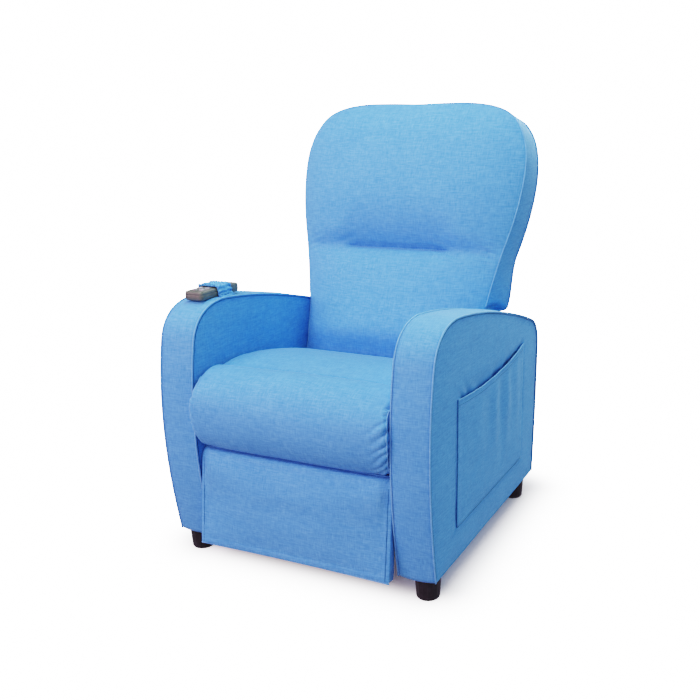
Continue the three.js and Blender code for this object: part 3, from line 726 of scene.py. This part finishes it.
def side_pocket():
    across, up = 90, 60
    u, v = np.meshgrid(np.linspace(0, 1, across), np.linspace(0, 1, up))
    front = pocket_point(u, v)
    wrinkles = ripple(front.reshape(-1, 3), 0.045, 2.0).reshape(up, across)
    front[..., 0] += 0.6 * MM * wrinkles * off_ends(0.12, u) * smoothstep(0.0, 0.2, v)
    back = front.copy()
    back[..., 0] -= 1.6 * MM
    body = shell("pocket_fabric", front, back)
    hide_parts("side_pocket_panel")
    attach(body, "base")
    # The hem is a bead of the lighter piping cloth, a painted highlight; the other lines are dark thread and
    # painted shade along the mouth and seams.
    # Lines of trim on the pocket: u and v from end to end, how far each stands out, its radius.
    lines = (
        ("hem", (0, 1), (1, 1), 120, 0.2 * MM, 1.5 * MM, PIPING_WITH_HIGHLIGHT),
        ("hem_stitch_and_shade", (0.01, 0.99), (0.955, 0.955), 120, 0.0, 0.5 * MM, DARK_THREAD_AND_SEAM_SHADE),
        ("seam_front", (0, 0), (0, 1), 60, 0.3 * MM, 0.9 * MM, DARK_THREAD_AND_SEAM_SHADE),
        ("seam_bottom", (0, 1), (0, 0), 80, 0.3 * MM, 0.7 * MM, DARK_THREAD_AND_SEAM_SHADE),
    )
    for name, u, v, count, out, radius, material in lines:
        line = pocket_point(np.linspace(*u, count), np.linspace(*v, count))
        line[:, 0] += out
        trim(f"pocket_{name}", line, radius, material, "base")


def shell(name, front, back):
    """A thin closed piece of blue cloth between two grids of points of the same size."""
    rows, columns = front.shape[:2]
    count = rows * columns
    vertices = np.concatenate([front.reshape(-1, 3), back.reshape(-1, 3)])
    grid = np.arange(count).reshape(rows, columns)
    faces = []
    for a in grid[:-1, :-1].ravel().tolist():
        faces.append((a, a + 1, a + columns + 1, a + columns))
        faces.append((count + a, count + a + columns, count + a + columns + 1, count + a + 1))
    sides = (grid[0], grid[1:, -1], grid[-1, -2::-1], grid[-2:0:-1, 0])
    rim = np.concatenate(sides).tolist()
    for a, b in zip(rim, rim[1:] + rim[:1]):
        faces.append((a, count + a, count + b, b))
    body = new_object(name, vertices, faces, BLUE)
    return body


# ---- Seat ----
SEAT_LOW, SEAT_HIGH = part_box("seat_cushion")
ROLL_LOW, ROLL_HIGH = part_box("seat_front_roll")
SEAM_REACH = 12 * MM  # puckers fade out over this distance from the seam between the two
SEAM_PUCKER = 0.9 * MM


def crosswise(half, count):
    """Places across the cushion, closer together near its ends."""
    return half * np.sin(np.linspace(-math.pi / 2, math.pi / 2, count))


def end_round(distance, radius, depth):
    """Shrink near a cushion's ends, as a quarter round of the given radius."""
    t = np.clip(1 - distance / radius, 0.0, 1.0)
    return depth * (1 - np.sqrt(1 - t * t))


def puckers(points, distance, spacing, seed):
    """The cloth drawn up at the seam between seat and roll, fading with the distance from it."""
    phase = TURN * points[:, 0] / spacing + 2 * ripple(points, 0.06, seed)
    return SEAM_PUCKER * np.exp(-distance / SEAM_REACH) * np.sin(phase)


def seat():
    front, rear, bottom = SEAT_LOW.y, SEAT_HIGH.y, SEAT_LOW.z
    half = SEAT_HIGH.x - 0.5 * MM
    top = path(
        (front, bottom + 0.02),
        (24, (front, 0.472), (front + 0.002, 0.476), (front + 0.018, 0.4815)),
        (40, (-0.165, 0.499), (-0.030, 0.455), (rear - 0.040, 0.440)),
        (8, (rear - 0.020, 0.434), (rear - 0.012, 0.410)),
        (2, (rear - 0.004, 0.38)),
    )
    low = along_curve([top[-1], (rear, bottom), (front, bottom), top[0]], BASE_SPACING)
    section = np.concatenate([along_curve(top, 5 * MM), low[1:-1]])
    loops = []
    for x in crosswise(half, 71):
        edge = abs(x) / half
        drop = 0.006 * edge**2 + end_round(half - abs(x), 0.020, 0.014)
        shape = section.copy()
        drop = drop + 0.009 * (1 - edge**2) * smoothstep(-0.16, 0.05, shape[:, 0])
        shape[:, 1] -= drop * smoothstep(bottom + 0.03, 0.44, shape[:, 1])
        loops.append(at_x(x, shape))
    loops = np.array(loops)
    flat = loops.reshape(-1, 3)
    pucker = puckers(flat, np.maximum(flat[:, 1] - front, 0.0), 21 * MM, 1.0)
    wave = 2.0 * MM * ripple(flat, 0.16, 4.0)
    flat[:, 2] += np.where(flat[:, 2] > 0.42, wave + pucker, 0.0)
    body = cushion("seat_fabric", loops, "seat_cushion", "base")

    def pinned(points):
        x, y, z = points.T
        return (z < 0.43) | (y < front + 8 * MM) | (y > rear - 24 * MM) | (np.abs(x) > half - 7 * MM)

    inflate(body, pinned, 12 * MM)


GATHER_SPACING = 23 * MM
GATHER_RIGHT = 11.5 * MM  # height of the folds at each end
GATHER_LEFT = 4.0 * MM
GATHER_REACH = 16 * MM  # how far they run in from the end over the front,
GATHER_SLANT = 34 * MM  # and how much farther below


def gathers(arc, inward, right, length):
    """Folds drawn up at the roll's end seams: pits over the front, long slanting folds below."""
    below = smoothstep(0.38 * length, 0.56 * length, arc)
    reach = (GATHER_REACH + GATHER_SLANT * below) * (1.0 if right else 0.6)
    height = GATHER_RIGHT if right else GATHER_LEFT
    fade = np.clip(1 - inward / reach, 0.0, 1.0) ** 1.2
    window = smoothstep(0.20 * length, 0.30 * length, arc) * smoothstep(length, 0.94 * length, arc)
    wander = ripple(xyz(inward * 0.7, arc, 0.0), 0.045, 5.0 + right)
    phase = math.pi * (arc - 0.8 * inward) / GATHER_SPACING + 2.6 * wander
    ridge = np.abs(np.sin(phase)) ** 0.7
    uneven = 0.85 + 0.95 * ripple(xyz(0.0, arc, 0.0), 0.03, 2.0 + right)
    return height * fade * window * uneven * (ridge - 0.75)


def roll():
    half = ROLL_HIGH.x
    back, front = ROLL_HIGH.y, ROLL_LOW.y
    bottom = ROLL_LOW.z
    face = path(
        (back, 0.466),
        (8, (back - 0.002, 0.474), (back - 0.012, 0.480)),
        (24, (-0.358, 0.487), (-0.396, 0.455)),
        (24, (front - 0.004, 0.430), (front - 0.003, 0.385)),
        (24, (front - 0.002, 0.332), (-0.402, 0.304)),
        (24, (-0.392, bottom - 0.004), (-0.376, bottom)),
    )
    face = along_curve(face, 3 * MM)
    rest = along_curve([face[-1], (back, bottom), face[0]], BASE_SPACING)
    section = np.concatenate([face, rest[1:-1]])
    length = run_length(face)[-1]
    arc = np.minimum(run_length(section), length)
    on_face = np.arange(len(section)) < len(face)
    normal = curve_normals(section)
    anchor = np.array([back - 0.03, 0.380])
    normal *= np.sign(np.sum(normal * (section - anchor), axis=1))[:, None]
    loops = []
    for x in crosswise(half, 121):
        inward = half - abs(x)
        edge = abs(x) / half
        pull = 1 - 0.045 * edge**5 - end_round(inward, 0.016, 0.13)
        shape = anchor + (section - anchor) * pull
        shape += normal * (gathers(arc, inward, x > 0, length) * on_face)[:, None]
        flare = 0.022 * smoothstep(-0.402, -0.420, shape[:, 0])
        loops.append(at_x(x * (1 + flare), shape))
    loops = np.array(loops)
    flat = loops.reshape(-1, 3)
    pucker = puckers(flat, np.abs(flat[:, 1] - back), 19 * MM, 2.0) * (flat[:, 2] > 0.44)
    wave = 2.2 * MM * ripple(flat, 0.14, 6.0) * (flat[:, 1] < back - 0.01)
    flat[:, 2] += pucker + wave * smoothstep(0.36, 0.46, flat[:, 2])
    flat[:, 1] -= wave * smoothstep(0.46, 0.38, flat[:, 2]) * (flat[:, 1] < -0.39)
    end_seam = (arc > 0.26 * length) & on_face
    # The end seams are beads of the lighter piping cloth, a painted highlight.
    for name, column in (("left", 5), ("right", -6)):
        line = loops[column][end_seam]
        trim(f"roll_seam_{name}", line[::2], 1.8 * MM, PIPING_WITH_HIGHLIGHT, "base")
    body = cushion("front_roll_fabric", loops, "seat_front_roll", "base")

    def pinned(points):
        x, y, z = points.T
        behind = (y > back - 9 * MM) | ((z < bottom + 18 * MM) & (y > -0.40))
        return behind | (np.abs(x) > half - 9 * MM)

    inflate(body, pinned, 12 * MM)


# ---- Back ----
LEAN = math.radians(18.5)
BACK_ORIGIN = Vector((0.0, 0.1047, 0.440))
BACK_TOP = 0.664  # height of the seam outline, along the lean
BACK_DEPTH = 0.115
BACK_BOTTOM = -0.040
BACK_CENTRE = np.array([0.0, 0.33])  # (x, height) that the cover's rings shrink towards


def back_point(x, depth, height):
    """Points of the back: depth is rearwards from the seam plane, height up along the lean."""
    y = BACK_ORIGIN.y + depth * math.cos(LEAN) + height * math.sin(LEAN)
    z = BACK_ORIGIN.z - depth * math.sin(LEAN) + height * math.cos(LEAN)
    return xyz(x, y, z)


def back_place(points):
    """How deep in the back, and how high up its lean, the points are."""
    y, z = points[:, 1] - BACK_ORIGIN.y, points[:, 2] - BACK_ORIGIN.z
    return y * math.cos(LEAN) - z * math.sin(LEAN), y * math.sin(LEAN) + z * math.cos(LEAN)


def back_outline():
    """The right half of the back's seam as (half width, height), from the bottom to the top's centre."""
    return path(
        (0.250, BACK_BOTTOM),
        (40, (0.252, 0.060), (0.264, 0.142)),
        (40, (0.276, 0.220), (0.293, 0.290)),
        (40, (0.323, 0.400), (0.323, 0.490)),
        (40, (0.323, 0.572), (0.281, 0.620)),
        (40, (0.243, 0.664), (0.120, BACK_TOP)),
        (10, (0.055, BACK_TOP), (0.0, BACK_TOP - 0.003)),
    )


def half_width(height):
    points = back_outline()
    order = np.argsort(points[:, 1], kind="stable")
    return float(np.interp(height, points[order, 1], points[order, 0]))


# The cover's sides are cut back beside the arms, so that the back clears them as it reclines.
RELIEF_WIDTH = 0.2495  # half of what is left between the arms
RELIEF_TOP = 0.141  # the cut reaches up to here,
RELIEF_MIDDLE = 0.068  # at this depth behind the front seam,
RELIEF_CURVE = 4.8  # and falls off in front of it and behind it
RELIEF_BLEND = 14 * MM
# The rear edge is fuller than the front seam, at the waist and at the top corners.
WAIST_FILL = 19 * MM
CORNER_FILL = 15 * MM


def cover_points(flat, depth):
    """The cover's (x, height) points at a depth, fuller at the rear and kept between the arms below."""
    height = flat[:, 1]
    points = back_point(flat[:, 0], depth, height)
    towards_rear = depth / BACK_DEPTH
    side = np.sign(points[:, 0])
    points[:, 0] += side * WAIST_FILL * towards_rear * smoothstep(0.29, 0.15, height)
    points[:, 2] += CORNER_FILL * towards_rear * smoothstep(0.46, 0.60, height)
    limit = RELIEF_TOP - RELIEF_CURVE * (depth - RELIEF_MIDDLE) ** 2
    inside = smoothstep(limit + RELIEF_BLEND, limit, height)
    narrow = side * np.minimum(np.abs(points[:, 0]), RELIEF_WIDTH)
    points[:, 0] += (narrow - points[:, 0]) * inside
    return points


def back_cover():
    right = along_curve(back_outline(), 7 * MM)
    seam = np.concatenate([right, right[::-1][1:] * (-1.0, 1.0)])
    outline, outward = closed_outline(seam, BACK_CENTRE)
    loops = []

    def ring(scale, depth, grow=0.0):
        flat = BACK_CENTRE + (outline - BACK_CENTRE) * scale + outward * grow
        loops.append(cover_points(flat, depth))

    for scale in (0.02, 0.4, 0.75, 0.93, 0.985):
        ring(scale, 4 * MM)
    for step in np.linspace(0.0, 1.0, 13):
        ring(1.0, MM + step * (BACK_DEPTH - 2 * MM), 3.0 * MM * math.sin(math.pi * step) - 1.5 * MM)
    for scale in (0.99, 0.975, 0.95, 0.92, 0.87, 0.8, 0.7, 0.6, 0.48, 0.36, 0.24, 0.12, 0.02):
        ring(scale, BACK_DEPTH + 5 * MM * (1 - scale**8))
    loops = np.array(loops)
    flat = loops.reshape(-1, 3)
    flat[:, 1] += 1.2 * MM * ripple(flat, 0.15, 8.0) * (flat[:, 1] > 0.2)
    cushion("back_cover_fabric", loops, "back_cover", "backrest")
    # Piping in the lighter cloth, a painted highlight, along the front and rear seams.
    for name, depth in (("front", 0.0), ("rear", BACK_DEPTH - MM)):
        trim(f"back_piping_{name}", cover_points(seam, depth), PIPE, PIPING_WITH_HIGHLIGHT, "backrest")


CREASE_HEIGHT = 0.269  # the sewn crease between the head and lumbar parts
CREASE_HALF = 0.131
CREASE_SHIFT = 0.006  # it sits a little to the right of the middle
PAD_FOOT = -0.030  # the pad tucks down behind the seat
HEAD_LOW = 0.022  # how far the head part stands out near its top
HEAD_RISE = 0.072  # and where it is fullest
HEAD_PEAK = 0.34  # that place, from the crease (0) to the top (1)
HEAD_TUCK = 0.014  # it turns in by this much towards the crease
CREASE_FLOOR = 0.014  # the crease's own height over the seam plane
LUMBAR_RISE = 0.042
LUMBAR_SWELL = 0.062  # added by the foot of the pad, where it meets the seat
TOP_ROUND = 0.110  # the head part rounds over to its seam within this height


def pad_depth(x, height, width):
    """How far the back's front stands forward of its seam."""
    across = np.clip(np.abs(x) / width, 0.0, 1.0)
    crown = (1 - across**2.6) ** 0.75
    above = height - CREASE_HEIGHT
    t = np.clip((height - (BACK_TOP - TOP_ROUND)) / TOP_ROUND, 0.0, 1.0)
    up = above / (BACK_TOP - CREASE_HEIGHT) - HEAD_PEAK
    over = np.clip(up / (1 - HEAD_PEAK), 0.0, 1.0)
    under = np.clip(-up / HEAD_PEAK, 0.0, 1.0)
    head = HEAD_RISE - (HEAD_RISE - HEAD_LOW) * over**1.7 - HEAD_TUCK * under**2
    head = head * (1 - t**2.2) ** 0.6
    down = np.clip(-above / CREASE_HEIGHT, 0.0, 1.13)
    lumbar = LUMBAR_RISE + LUMBAR_SWELL * down**0.9 - 0.050 * smoothstep(0.84, 1.16, down)
    sewn = 1 - smoothstep(CREASE_HALF - 0.015, CREASE_HALF + 0.050, np.abs(x - CREASE_SHIFT))
    reach = np.where(above > 0, 0.030, 0.009)
    part = np.where(above > 0, head, lumbar)
    creased = CREASE_FLOOR + (part - CREASE_FLOOR) * (1 - np.exp(-np.abs(above) / reach))
    plain = lumbar + (head - lumbar) * smoothstep(-0.020, 0.045, above)
    plain = plain - 0.007 * bell(0.0, 0.018, above)
    return crown * (plain + (creased - plain) * sewn)


def back_wrinkles(x, height):
    """Small folds round the ends of the crease and at the side seams."""
    def waves(place, length):
        return np.sin(place * TURN / length)

    slack = bell(-0.135, 0.07, x) * bell(0.205, 0.055, height)
    folds = 1.7 * MM * slack * waves(x + 0.55 * height, 0.060)
    for side in (-1.0, 1.0):
        end = side * (CREASE_HALF + 0.008)
        away = (x - end) * side
        near = bell(end, 0.035, x) * bell(CREASE_HEIGHT, 0.030, height)
        folds = folds + 2.0 * MM * near * waves(height - CREASE_HEIGHT + 0.4 * away, 0.024)
        seam = bell(0.262, 0.030, x * side) * (x * side > 0) * bell(CREASE_HEIGHT - 0.002, 0.030, height)
        spread = np.clip(away / 0.10, 0.0, 1.0)
        folds = folds + 1.6 * MM * seam * waves(height + 0.25 * away, 0.017) * spread
    return folds


def back_cushion():
    heights = np.unique(np.concatenate([
        np.linspace(PAD_FOOT, CREASE_HEIGHT - 0.03, 50),
        np.linspace(CREASE_HEIGHT - 0.03, CREASE_HEIGHT + 0.04, 61),
        np.linspace(CREASE_HEIGHT + 0.04, 0.600, 60),
        BACK_TOP - 0.064 * (1 - np.sin(np.linspace(0, math.pi / 2, 30))) - 0.0005,
    ]))
    columns = crosswise(1.0, 161)
    loops = []
    for height in heights:
        width = half_width(height)
        x = columns * width
        depth = pad_depth(x, height, width)
        edge = np.clip(1 - np.abs(columns) ** 6, 0.0, 1.0)
        depth = depth + back_wrinkles(x, height) * edge
        front = back_point(x, -depth, height)
        rear = back_point(x[::-1][1:-1], 0.0, height)
        loops.append(np.concatenate([front, rear]))
    loops = np.array(loops)
    flat = loops.reshape(-1, 3)
    wave = 2.0 * MM * ripple(flat, 0.15, 11.0)
    wave *= smoothstep(-0.002, -0.03, back_place(flat)[0])
    flat[:, 1] -= wave * math.cos(LEAN)
    flat[:, 2] += wave * math.sin(LEAN)
    body = cushion("back_cushion_fabric", loops, "back_cushion", "backrest")

    def pinned(points):
        depth, height = back_place(points)
        level = np.abs(height - CREASE_HEIGHT) < 15 * MM
        creased = level & (np.abs(points[:, 0] - CREASE_SHIFT) < CREASE_HALF)
        return (depth > -7 * MM) | creased | (height < 0.02)

    inflate(body, pinned, 14 * MM)


# ---- Footrest ----
FACE_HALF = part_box("footrest_pad")[1].x + 1.5 * MM
PANEL_TOP = np.array([-0.393, 0.291])
PANEL_FOOT = np.array([-0.423, 0.057])
PANEL_THICK = 34 * MM
WELT_WIDTH = 9 * MM  # a flat welt runs down each side of the face
WELT_RISE = 3 * MM
FACE_SHOULDER = 30 * MM  # the face rounds over at its top within this distance,
FACE_DROP = 24 * MM  # by this much
FACE_BELLY = 11 * MM


def footrest():
    down = PANEL_FOOT - PANEL_TOP
    length = np.linalg.norm(down)
    down = down / length
    out = np.array([down[1], -down[0]])
    seam_in = 8 * MM  # the seam lies this far behind the panel's front plane

    def on_panel(along, level):
        """Points (y, z) down the panel, each raised off its front plane to its own level."""
        return PANEL_TOP + along[:, None] * down + out * np.broadcast_to(level, len(along))[:, None]

    def face_height(along, inward):
        """How far the face stands out of its seam, from the distances to its foot and side."""
        low = np.clip((length - along) / 0.042, 0.0, 1.0)
        side = np.clip((inward - WELT_WIDTH) / 0.026, 0.0, 1.0)
        lift = (1 - (1 - low) ** 2.4) * (1 - (1 - side) ** 2.4)
        top = np.clip(1 - along / FACE_SHOULDER, 0.0, 1.0)
        belly = FACE_BELLY * lift * bell(0.040, 0.055, along)
        welt = WELT_RISE * np.sqrt(np.clip(inward / WELT_WIDTH, 0.0, 1.0))
        return welt + (seam_in - WELT_RISE) * lift + belly - FACE_DROP * (1 - np.sqrt(1 - top**2))

    places = length * (1 - np.cos(np.linspace(0, math.pi, 80))) / 2 - 2 * MM
    loops = []
    for x in crosswise(FACE_HALF, 91):
        inward = FACE_HALF - abs(x)
        rise = face_height(places, inward)
        front = on_panel(places, rise - seam_in)
        rear = on_panel(np.linspace(length, 0.0, 16), -PANEL_THICK)
        ring = np.concatenate([front, rear])
        taper = np.ones(len(ring))
        taper[len(front):] = 0.992
        loops.append(at_x(x * taper, ring))
    loops = np.array(loops)
    flat = loops.reshape(-1, 3)
    wave = 1.5 * MM * ripple(flat, 0.12, 13.0)
    flat[:, 1] += wave * smoothstep(-0.385, -0.40, flat[:, 1])
    body = cushion("footrest_fabric", loops, "footrest_pad", "footrest")
    # Piping of the lighter cloth along the foot, a painted highlight, and dark seam lines by the welts,
    # which are thread and painted shade.
    x = np.linspace(-FACE_HALF, FACE_HALF, 60)
    foot = length + MM - 3 * MM * np.cos(math.pi * x / (2 * FACE_HALF))
    trim("footrest_piping", at_x(x, on_panel(foot, -seam_in)), PIPE, PIPING_WITH_HIGHLIGHT, "footrest")
    along = np.linspace(0.022, length - 0.004, 50)
    seam = on_panel(along, face_height(along, WELT_WIDTH) - seam_in + 0.2 * MM)
    for name, side in (("left", -1), ("right", 1)):
        line = at_x(side * (FACE_HALF - WELT_WIDTH), seam)
        trim(f"footrest_seam_{name}", line, 0.8 * MM, DARK_THREAD_AND_SEAM_SHADE, "footrest")

    def pinned(points):
        x, y, z = points.T
        behind = (y - PANEL_TOP[0]) * out[0] + (z - PANEL_TOP[1]) * out[1] < -10 * MM
        ends = (z < PANEL_FOOT[1] + 12 * MM) | (z > PANEL_TOP[1] - 9 * MM)
        return behind | ends | (np.abs(x) > FACE_HALF - WELT_WIDTH - 3 * MM)

    inflate(body, pinned, 8 * MM)


# ---- Handset ----
CASE_LOW, CASE_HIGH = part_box("handset_case")
BAND_LOW, BAND_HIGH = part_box("handset_band")
RUFFLE_LENGTH = 9.2 * MM  # from one gather of the strap to the next


def rounded_rectangle(half_x, half_y, radius, count=8):
    points = []
    for corner_x, corner_y, start in ((1, 1, 0), (-1, 1, 90), (-1, -1, 180), (1, -1, 270)):
        corner = (corner_x * (half_x - radius), corner_y * (half_y - radius))
        for angle in np.radians(np.linspace(start, start + 90, count)):
            points.append(corner + radius * np.array([math.cos(angle), math.sin(angle)]))
    return np.array(points)


def handset_case():
    middle = (CASE_LOW + CASE_HIGH) / 2
    half_x, half_y = (CASE_HIGH.x - CASE_LOW.x) / 2, (CASE_HIGH.y - CASE_LOW.y) / 2
    bottom, top = CASE_LOW.z, CASE_HIGH.z
    # The case's rounded edges and the groove between its two halves, as scale and height.
    levels = (
        (0.75, bottom + 0.5 * MM), (0.93, bottom), (0.985, bottom + 3 * MM), (1.0, bottom + 9 * MM),
        (1.0, bottom + 12 * MM), (0.985, bottom + 12.4 * MM), (0.985, bottom + 13.2 * MM),
        (1.0, bottom + 13.6 * MM), (0.99, top - 5 * MM), (0.955, top - 1.6 * MM),
        (0.90, top - 0.4 * MM), (0.80, top), (0.4, top + 0.4 * MM), (0.05, top + 0.4 * MM),
    )
    flat = rounded_rectangle(half_x, half_y, 9 * MM)
    loops = []
    for scale, z in levels:
        even_inset = 1 - half_x * (1 - scale) / half_y
        x, y = (flat * (scale, scale if scale < 0.9 else even_inset)).T
        loops.append(xyz(x + middle.x, y + middle.y, z))
    body = loft("handset_shell", loops, HANDSET)
    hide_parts("handset_case")
    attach(body, "handset")


def handset_band():
    """A gathered elastic strap over the handset."""
    middle = (BAND_LOW + BAND_HIGH) / 2
    half_x = (BAND_HIGH.x - BAND_LOW.x) / 2
    front, rear = BAND_LOW.y, BAND_HIGH.y
    foot, top = BAND_LOW.z, BAND_HIGH.z
    arch = path(
        (-half_x - 9 * MM, foot - MM),
        (2, (-half_x - MM, foot + MM)),
        (24, (-half_x, top), (-half_x + 7 * MM, top)),
        (2, (half_x - 7 * MM, top)),
        (24, (half_x, top), (half_x + MM, foot + MM)),
        (2, (half_x + 9 * MM, foot - MM)),
    )
    spacing = 1.2 * MM
    arch = along_curve(arch, spacing)
    normal = curve_normals(arch)
    arc = np.arange(len(arch)) * spacing
    outer, inner = [], []
    for t in np.linspace(-0.12, 1.12, 26):
        y = front + t * (rear - front)
        frill = smoothstep(0.30, 0.0, min(t, 1 - t)) if 0 <= t <= 1 else 1.0
        wander = 1.5 * np.sin(arc / 0.011 + 2.0) + 0.9 * math.sin(9 * t)
        gathered = np.sin(TURN * arc / RUFFLE_LENGTH + wander)
        ruffle = (0.9 + 2.0 * frill) * gathered
        puff = 1.2 + 1.6 * abs(math.sin(3 * math.pi * t)) + ruffle
        shape = arch + normal * (puff * MM)[:, None]
        under = arch - normal * MM
        shift = 2.0 * MM * gathered * (frill if t < 0.5 else -frill)
        outer.append(xyz(shape[:, 0] + middle.x, y + shift, shape[:, 1]))
        inner.append(xyz(under[:, 0] + middle.x, y, under[:, 1]))
    body = shell("handset_strap", np.array(outer), np.array(inner))
    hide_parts("handset_band")
    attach(body, "base")


# ---- Flap behind the seat and rear panel ----
FLAP_SEAT = np.array([0.0875, 0.388])  # (y, z) where it is sewn to the seat
FLAP_BACK = np.array([0.0945, 0.398])  # and to the back
FLAP_FOLD = 62 * MM  # it hangs this deep between them, folded, at rest
FLAP_HALF = 0.215


def back_flap():
    """A folded cloth between the seat and the back."""
    t = np.linspace(0.0, 1.0, 41)
    places = np.linspace(-FLAP_HALF, FLAP_HALF, 61)
    slack = np.sin(math.pi * t) ** 0.75
    hang = slack[:, None] * (0.0, 1.0)
    line = FLAP_SEAT + t[:, None] * (FLAP_BACK - FLAP_SEAT) - FLAP_FOLD * hang
    front = np.zeros((len(t), len(places), 3))
    for j, x in enumerate(places):
        front[:, j] = at_x(x, line - 3 * MM * math.sin(x / 0.045) * hang)
    back = front.copy()
    back[..., 1] += 0.8 * MM * np.where(t < 0.5, 1.0, -1.0)[:, None]
    back[..., 2] += 1.0 * MM * slack[:, None]
    body = shell("back_flap_fabric", front, back)
    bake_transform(body)


REAR_LOW, REAR_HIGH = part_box("rear_panel")


def rear_panel():
    half_x = (REAR_HIGH.x - REAR_LOW.x) / 2 - 0.5 * MM
    half_z = (REAR_HIGH.z - REAR_LOW.z) / 2
    middle_z = (REAR_HIGH.z + REAR_LOW.z) / 2
    loops = []
    outline = along_curve(
        np.concatenate([rounded_rectangle(half_x, half_z, 6 * MM), [[half_x, half_z - 6 * MM]]]), 8 * MM
    )[:-1]
    front, rear = REAR_LOW.y, REAR_HIGH.y
    levels = (
        (0.05, front), (0.6, front), (0.97, front), (1.0, front + 3 * MM),
        (1.0, rear - 4 * MM), (0.99, rear - MM), (0.975, rear), (0.93, rear + MM), (0.85, rear + 1.6 * MM),
        (0.7, rear + 2 * MM), (0.5, rear + 2.2 * MM), (0.3, rear + 2.2 * MM), (0.05, rear + 2.2 * MM),
    )
    for scale, y in levels:
        shape = outline * scale
        loops.append(xyz(shape[:, 0], y, shape[:, 1] + middle_z))
    cushion("rear_panel_fabric", loops, "rear_panel", "base")


# ---- Build ----
make_camera()
make_studio()
make_floor()
dress_cad_nodes()
for side in (-1, 1):
    arm(side)
side_pocket()
seat()
roll()
back_cover()
back_cushion()
back_flap()
footrest()
handset_case()
handset_band()
rear_panel()
